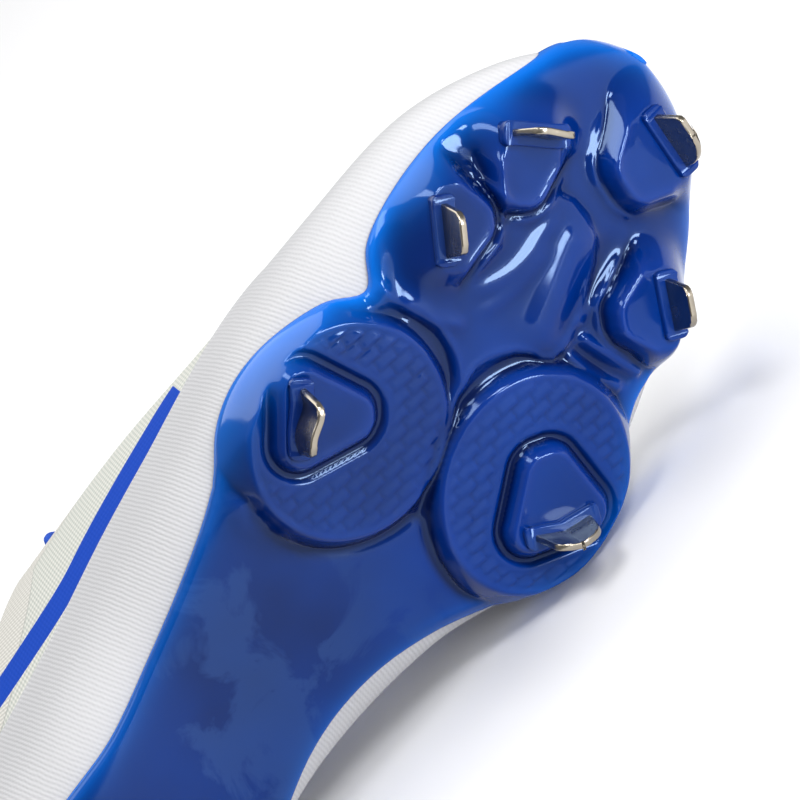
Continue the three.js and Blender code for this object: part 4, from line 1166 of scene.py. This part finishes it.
def laceRun(bm, start, end, hop):
    (a, outA), (b, outB) = start, end
    points = [a - outA * lace["depth"], a + outA * 0.3]
    for share in np.linspace(0.1, 0.9, 11):
        p = a.lerp(b, share)
        lift = lace["lift"] + hop * math.exp(-(((share - 0.5) / 0.17) ** 2))
        lift += lace["arch"] * float(smoothStep(0.05, 0.35, share) * smoothStep(0.95, 0.65, share))
        points.append(Vector((p.x, p.y, float(above(p.x, p.y, lift)))))
    points += [b + outB * 0.3, b - outB * lace["depth"]]
    path = [Vector(p) for p in smoothLine(points, False, 5)]
    ring = None
    frameUp = outA.cross((path[1] - path[0]).normalized() + Vector((0.3, 0.2, 0.1)))
    for k, p in enumerate(path):
        ahead = (path[min(k + 1, len(path) - 1)] - path[max(k - 1, 0)]).normalized()
        side = (frameUp - ahead * frameUp.dot(ahead)).normalized()
        frameUp = side
        turn = Matrix((side, ahead.cross(side), ahead)).transposed().to_4x4()
        made = bmesh.ops.create_circle(bm, segments=lace["sides"], radius=lace["radius"],
                                       matrix=Matrix.Translation(p) @ turn)["verts"]
        edges = {e for v in made for e in v.link_edges}
        if ring is not None:
            bmesh.ops.bridge_loops(bm, edges=list(ring | edges))
        else:
            bmesh.ops.contextual_create(bm, geom=list(edges))
        ring = edges
    bmesh.ops.contextual_create(bm, geom=list(ring))


def makeLaces(material):
    bm = bmesh.new()
    last = len(eyeletPlaces) - 1
    laceRun(bm, eyeletAt(eyeletPlaces[last], 1), eyeletAt(eyeletPlaces[last], -1), 0)
    for k in range(last):
        near, far = eyeletPlaces[k], eyeletPlaces[k + 1]
        one, other = (lace["hop"], lace["dip"]) if k % 2 else (lace["dip"], lace["hop"])
        laceRun(bm, eyeletAt(near, 1), eyeletAt(far, -1), one)
        laceRun(bm, eyeletAt(near, -1), eyeletAt(far, 1), other)
    for v in bm.verts:
        v.co = Vector(rowOf(v.co))
    bmesh.ops.recalc_face_normals(bm, faces=bm.faces)
    piece = finished("laceRuns", bm, material)
    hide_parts("laces")


# Upper's cloth: ribbed white rand, blue band, warm woven quarter, pale lining
weave = {
    # pitches in mm, with how much the ribs lean, wobble and show their stitches
    "ribs": 1.15, "ribLean": 0.19, "ribWobble": 0.5, "stitch": 1.4, "stitchShare": 0.3,
    "warp": 1.05, "weft": 2.1, "twill": 1.9, "seamHalf": 0.45,
    # colours, two where the threads' hollows and tops differ; the darker one in the rand's and quarter's
    # hollows is painted shade
    "rand": ((0.47, 0.47, 0.483), (0.52, 0.52, 0.531)),
    "quarter": ((0.43, 0.46, 0.42), (0.7, 0.69, 0.64)),
    "panel": ((0.5, 0.49, 0.45), (0.68, 0.665, 0.62)),
    "seam": (0.3, 0.31, 0.29),
    "band": (0.0, 0.05, 0.42),
    "lining": (0.6, 0.61, 0.64),
}


def upperMaterial():
    material, tree, shader = newMaterial("coatedCloth", (0.8, 0.8, 0.8), 0.62, Specular_IOR_Level=0.1)
    place = addNode(tree, "ShaderNodeUVMap", uv_map="pieceMap").outputs[0]
    parts = addNode(tree, "ShaderNodeSeparateXYZ", {"Vector": place})
    along, around = parts.outputs[0], parts.outputs[1]
    wobble = times(tree, noiseOf(tree, place, Scale=0.3, Detail=1), weave["ribWobble"])
    lean = plus(tree, plus(tree, along, times(tree, around, weave["ribLean"])), wobble)
    # each rib is a row of small stitches
    stitch = times(tree, waveOf(tree, around, weave["stitch"]), weave["stitchShare"])
    ribs = times(tree, waveOf(tree, lean, weave["ribs"]), plus(tree, stitch, 1 - weave["stitchShare"]))
    threads = plus(tree, waveOf(tree, along, weave["warp"]), waveOf(tree, around, weave["weft"]))
    threads = times(tree, threads, 0.5)
    twill = waveOf(tree, plus(tree, along, around), weave["twill"])
    rand = math2(tree, "GREATER_THAN", attributeOf(tree, "rand"), 0.5)
    band = math2(tree, "GREATER_THAN", attributeOf(tree, "band"), 0)
    lining = math2(tree, "GREATER_THAN", attributeOf(tree, "lining"), 0.5)
    panel = attributeOf(tree, "eyestay")
    onPanel = math2(tree, "GREATER_THAN", panel, 0)
    seam = math2(tree, "COMPARE", panel, 0)
    seam.node.inputs[2].default_value = weave["seamHalf"]
    # painted shade: the rand and quarter are darker in their threads' hollows
    white = mixColour(tree, shareOf(tree, ribs), *weave["rand"])
    woven = mixColour(tree, shareOf(tree, threads), *weave["quarter"])
    woven = mixColour(tree, onPanel, woven, mixColour(tree, shareOf(tree, twill), *weave["panel"]))
    woven = mixColour(tree, times(tree, seam, 0.5), woven, weave["seam"])
    tone = mixColour(tree, rand, woven, white)
    tone = mixColour(tree, band, tone, weave["band"])
    tone = mixColour(tree, lining, tone, weave["lining"])
    tree.links.new(tone, shader.inputs["Base Color"])
    # the threads' height, flatter under the band, with a groove at the panel's seam
    height = plus(tree, times(tree, ribs, rand), times(tree, threads, math2(tree, "SUBTRACT", 1.0, rand)))
    height = times(tree, height, math2(tree, "SUBTRACT", 1.0, times(tree, band, 0.6)))
    height = math2(tree, "SUBTRACT", height, times(tree, seam, 4.0))
    bumpOn(tree, shader, height, 0.3, 0.00016)
    return material


def clothMaterial(name, low, high, scale, strength, depth):
    material, tree, shader = newMaterial(name, low, 0.85)
    place = addNode(tree, "ShaderNodeTexCoord").outputs["Object"]
    fuzz = noiseOf(tree, place, Scale=scale, Detail=4, Roughness=0.7)
    tree.links.new(mixColour(tree, fuzz, low, high), shader.inputs["Base Color"])
    bumpOn(tree, shader, fuzz, strength, depth)
    return material


cloth = upperMaterial()
shell = makeUpper(cloth)
punchEyelets(shell)
print("upper made")
makeTongue(clothMaterial("fuzzyKnit", (0.5, 0.51, 0.54), (0.78, 0.79, 0.82), 900, 0.7, 0.0006))
makeInsole(clothMaterial("insoleCloth", (0.03, 0.032, 0.04), (0.05, 0.052, 0.062), 700, 0.4, 0.0003))
makeLaces(clothMaterial("braidedBlue", (0.002, 0.04, 0.36), (0.006, 0.1, 0.62), 1400, 0.8, 0.0005))
print("tongue, insole and laces made")

# Floor, light and background
studio = {
    "floor": (0.93, 0.93, 0.94),
    "air": 0.25,
    # name, place and target in the shoe's frame in mm, size in metres, power
    "lights": [
        ("above", (1350, 150, 100), (0, 190, 150), (2.2, 2.2), 3),
        ("strip", (685, 330, -67), (0, 200, 0), (0.16, 0.5), 2.2),
        ("key", (600, 690, -590), (0, 200, 0), (0.2, 0.3), 4),
        ("card", (110, 610, -740), (0, 210, 0), (0.36, 0.2), 5),
        ("behind", (900, 400, 900), (-60, 300, 500), (1.2, 1.2), 11),
    ],
}
bm = bmesh.new()
bmesh.ops.create_grid(bm, x_segments=1, y_segments=1, size=6)
floorMaterial, floorTree, floorShader = newMaterial("floorPaper", studio["floor"], 0.9)
floorMesh = bpy.data.meshes.new("floor")
bm.to_mesh(floorMesh)
bm.free()
floorMesh.materials.append(floorMaterial)
floor = bpy.data.objects.new("floor", floorMesh)
bpy.context.scene.collection.objects.link(floor)

world = bpy.data.worlds.new("air")
world.use_nodes = True
world.node_tree.nodes["Background"].inputs["Color"].default_value = (1, 1, 1, 1)
world.node_tree.nodes["Background"].inputs["Strength"].default_value = studio["air"]
bpy.context.scene.world = world
bpy.context.scene.view_settings.view_transform = "Standard"


def softLight(name, at, target, size, power):
    light = bpy.data.lights.new(name, "AREA")
    light.shape = "RECTANGLE"
    light.size, light.size_y = size
    light.energy = power
    lamp = bpy.data.objects.new(name, light)
    start, end = Vector(rowOf(at)), Vector(rowOf(target))
    turn = (end - start).to_track_quat("-Z", "Y").to_matrix().to_4x4()
    lamp.matrix_world = Matrix.Translation(start) @ turn
    bpy.context.scene.collection.objects.link(lamp)


for row in studio["lights"]:
    softLight(*row)
print("light set")
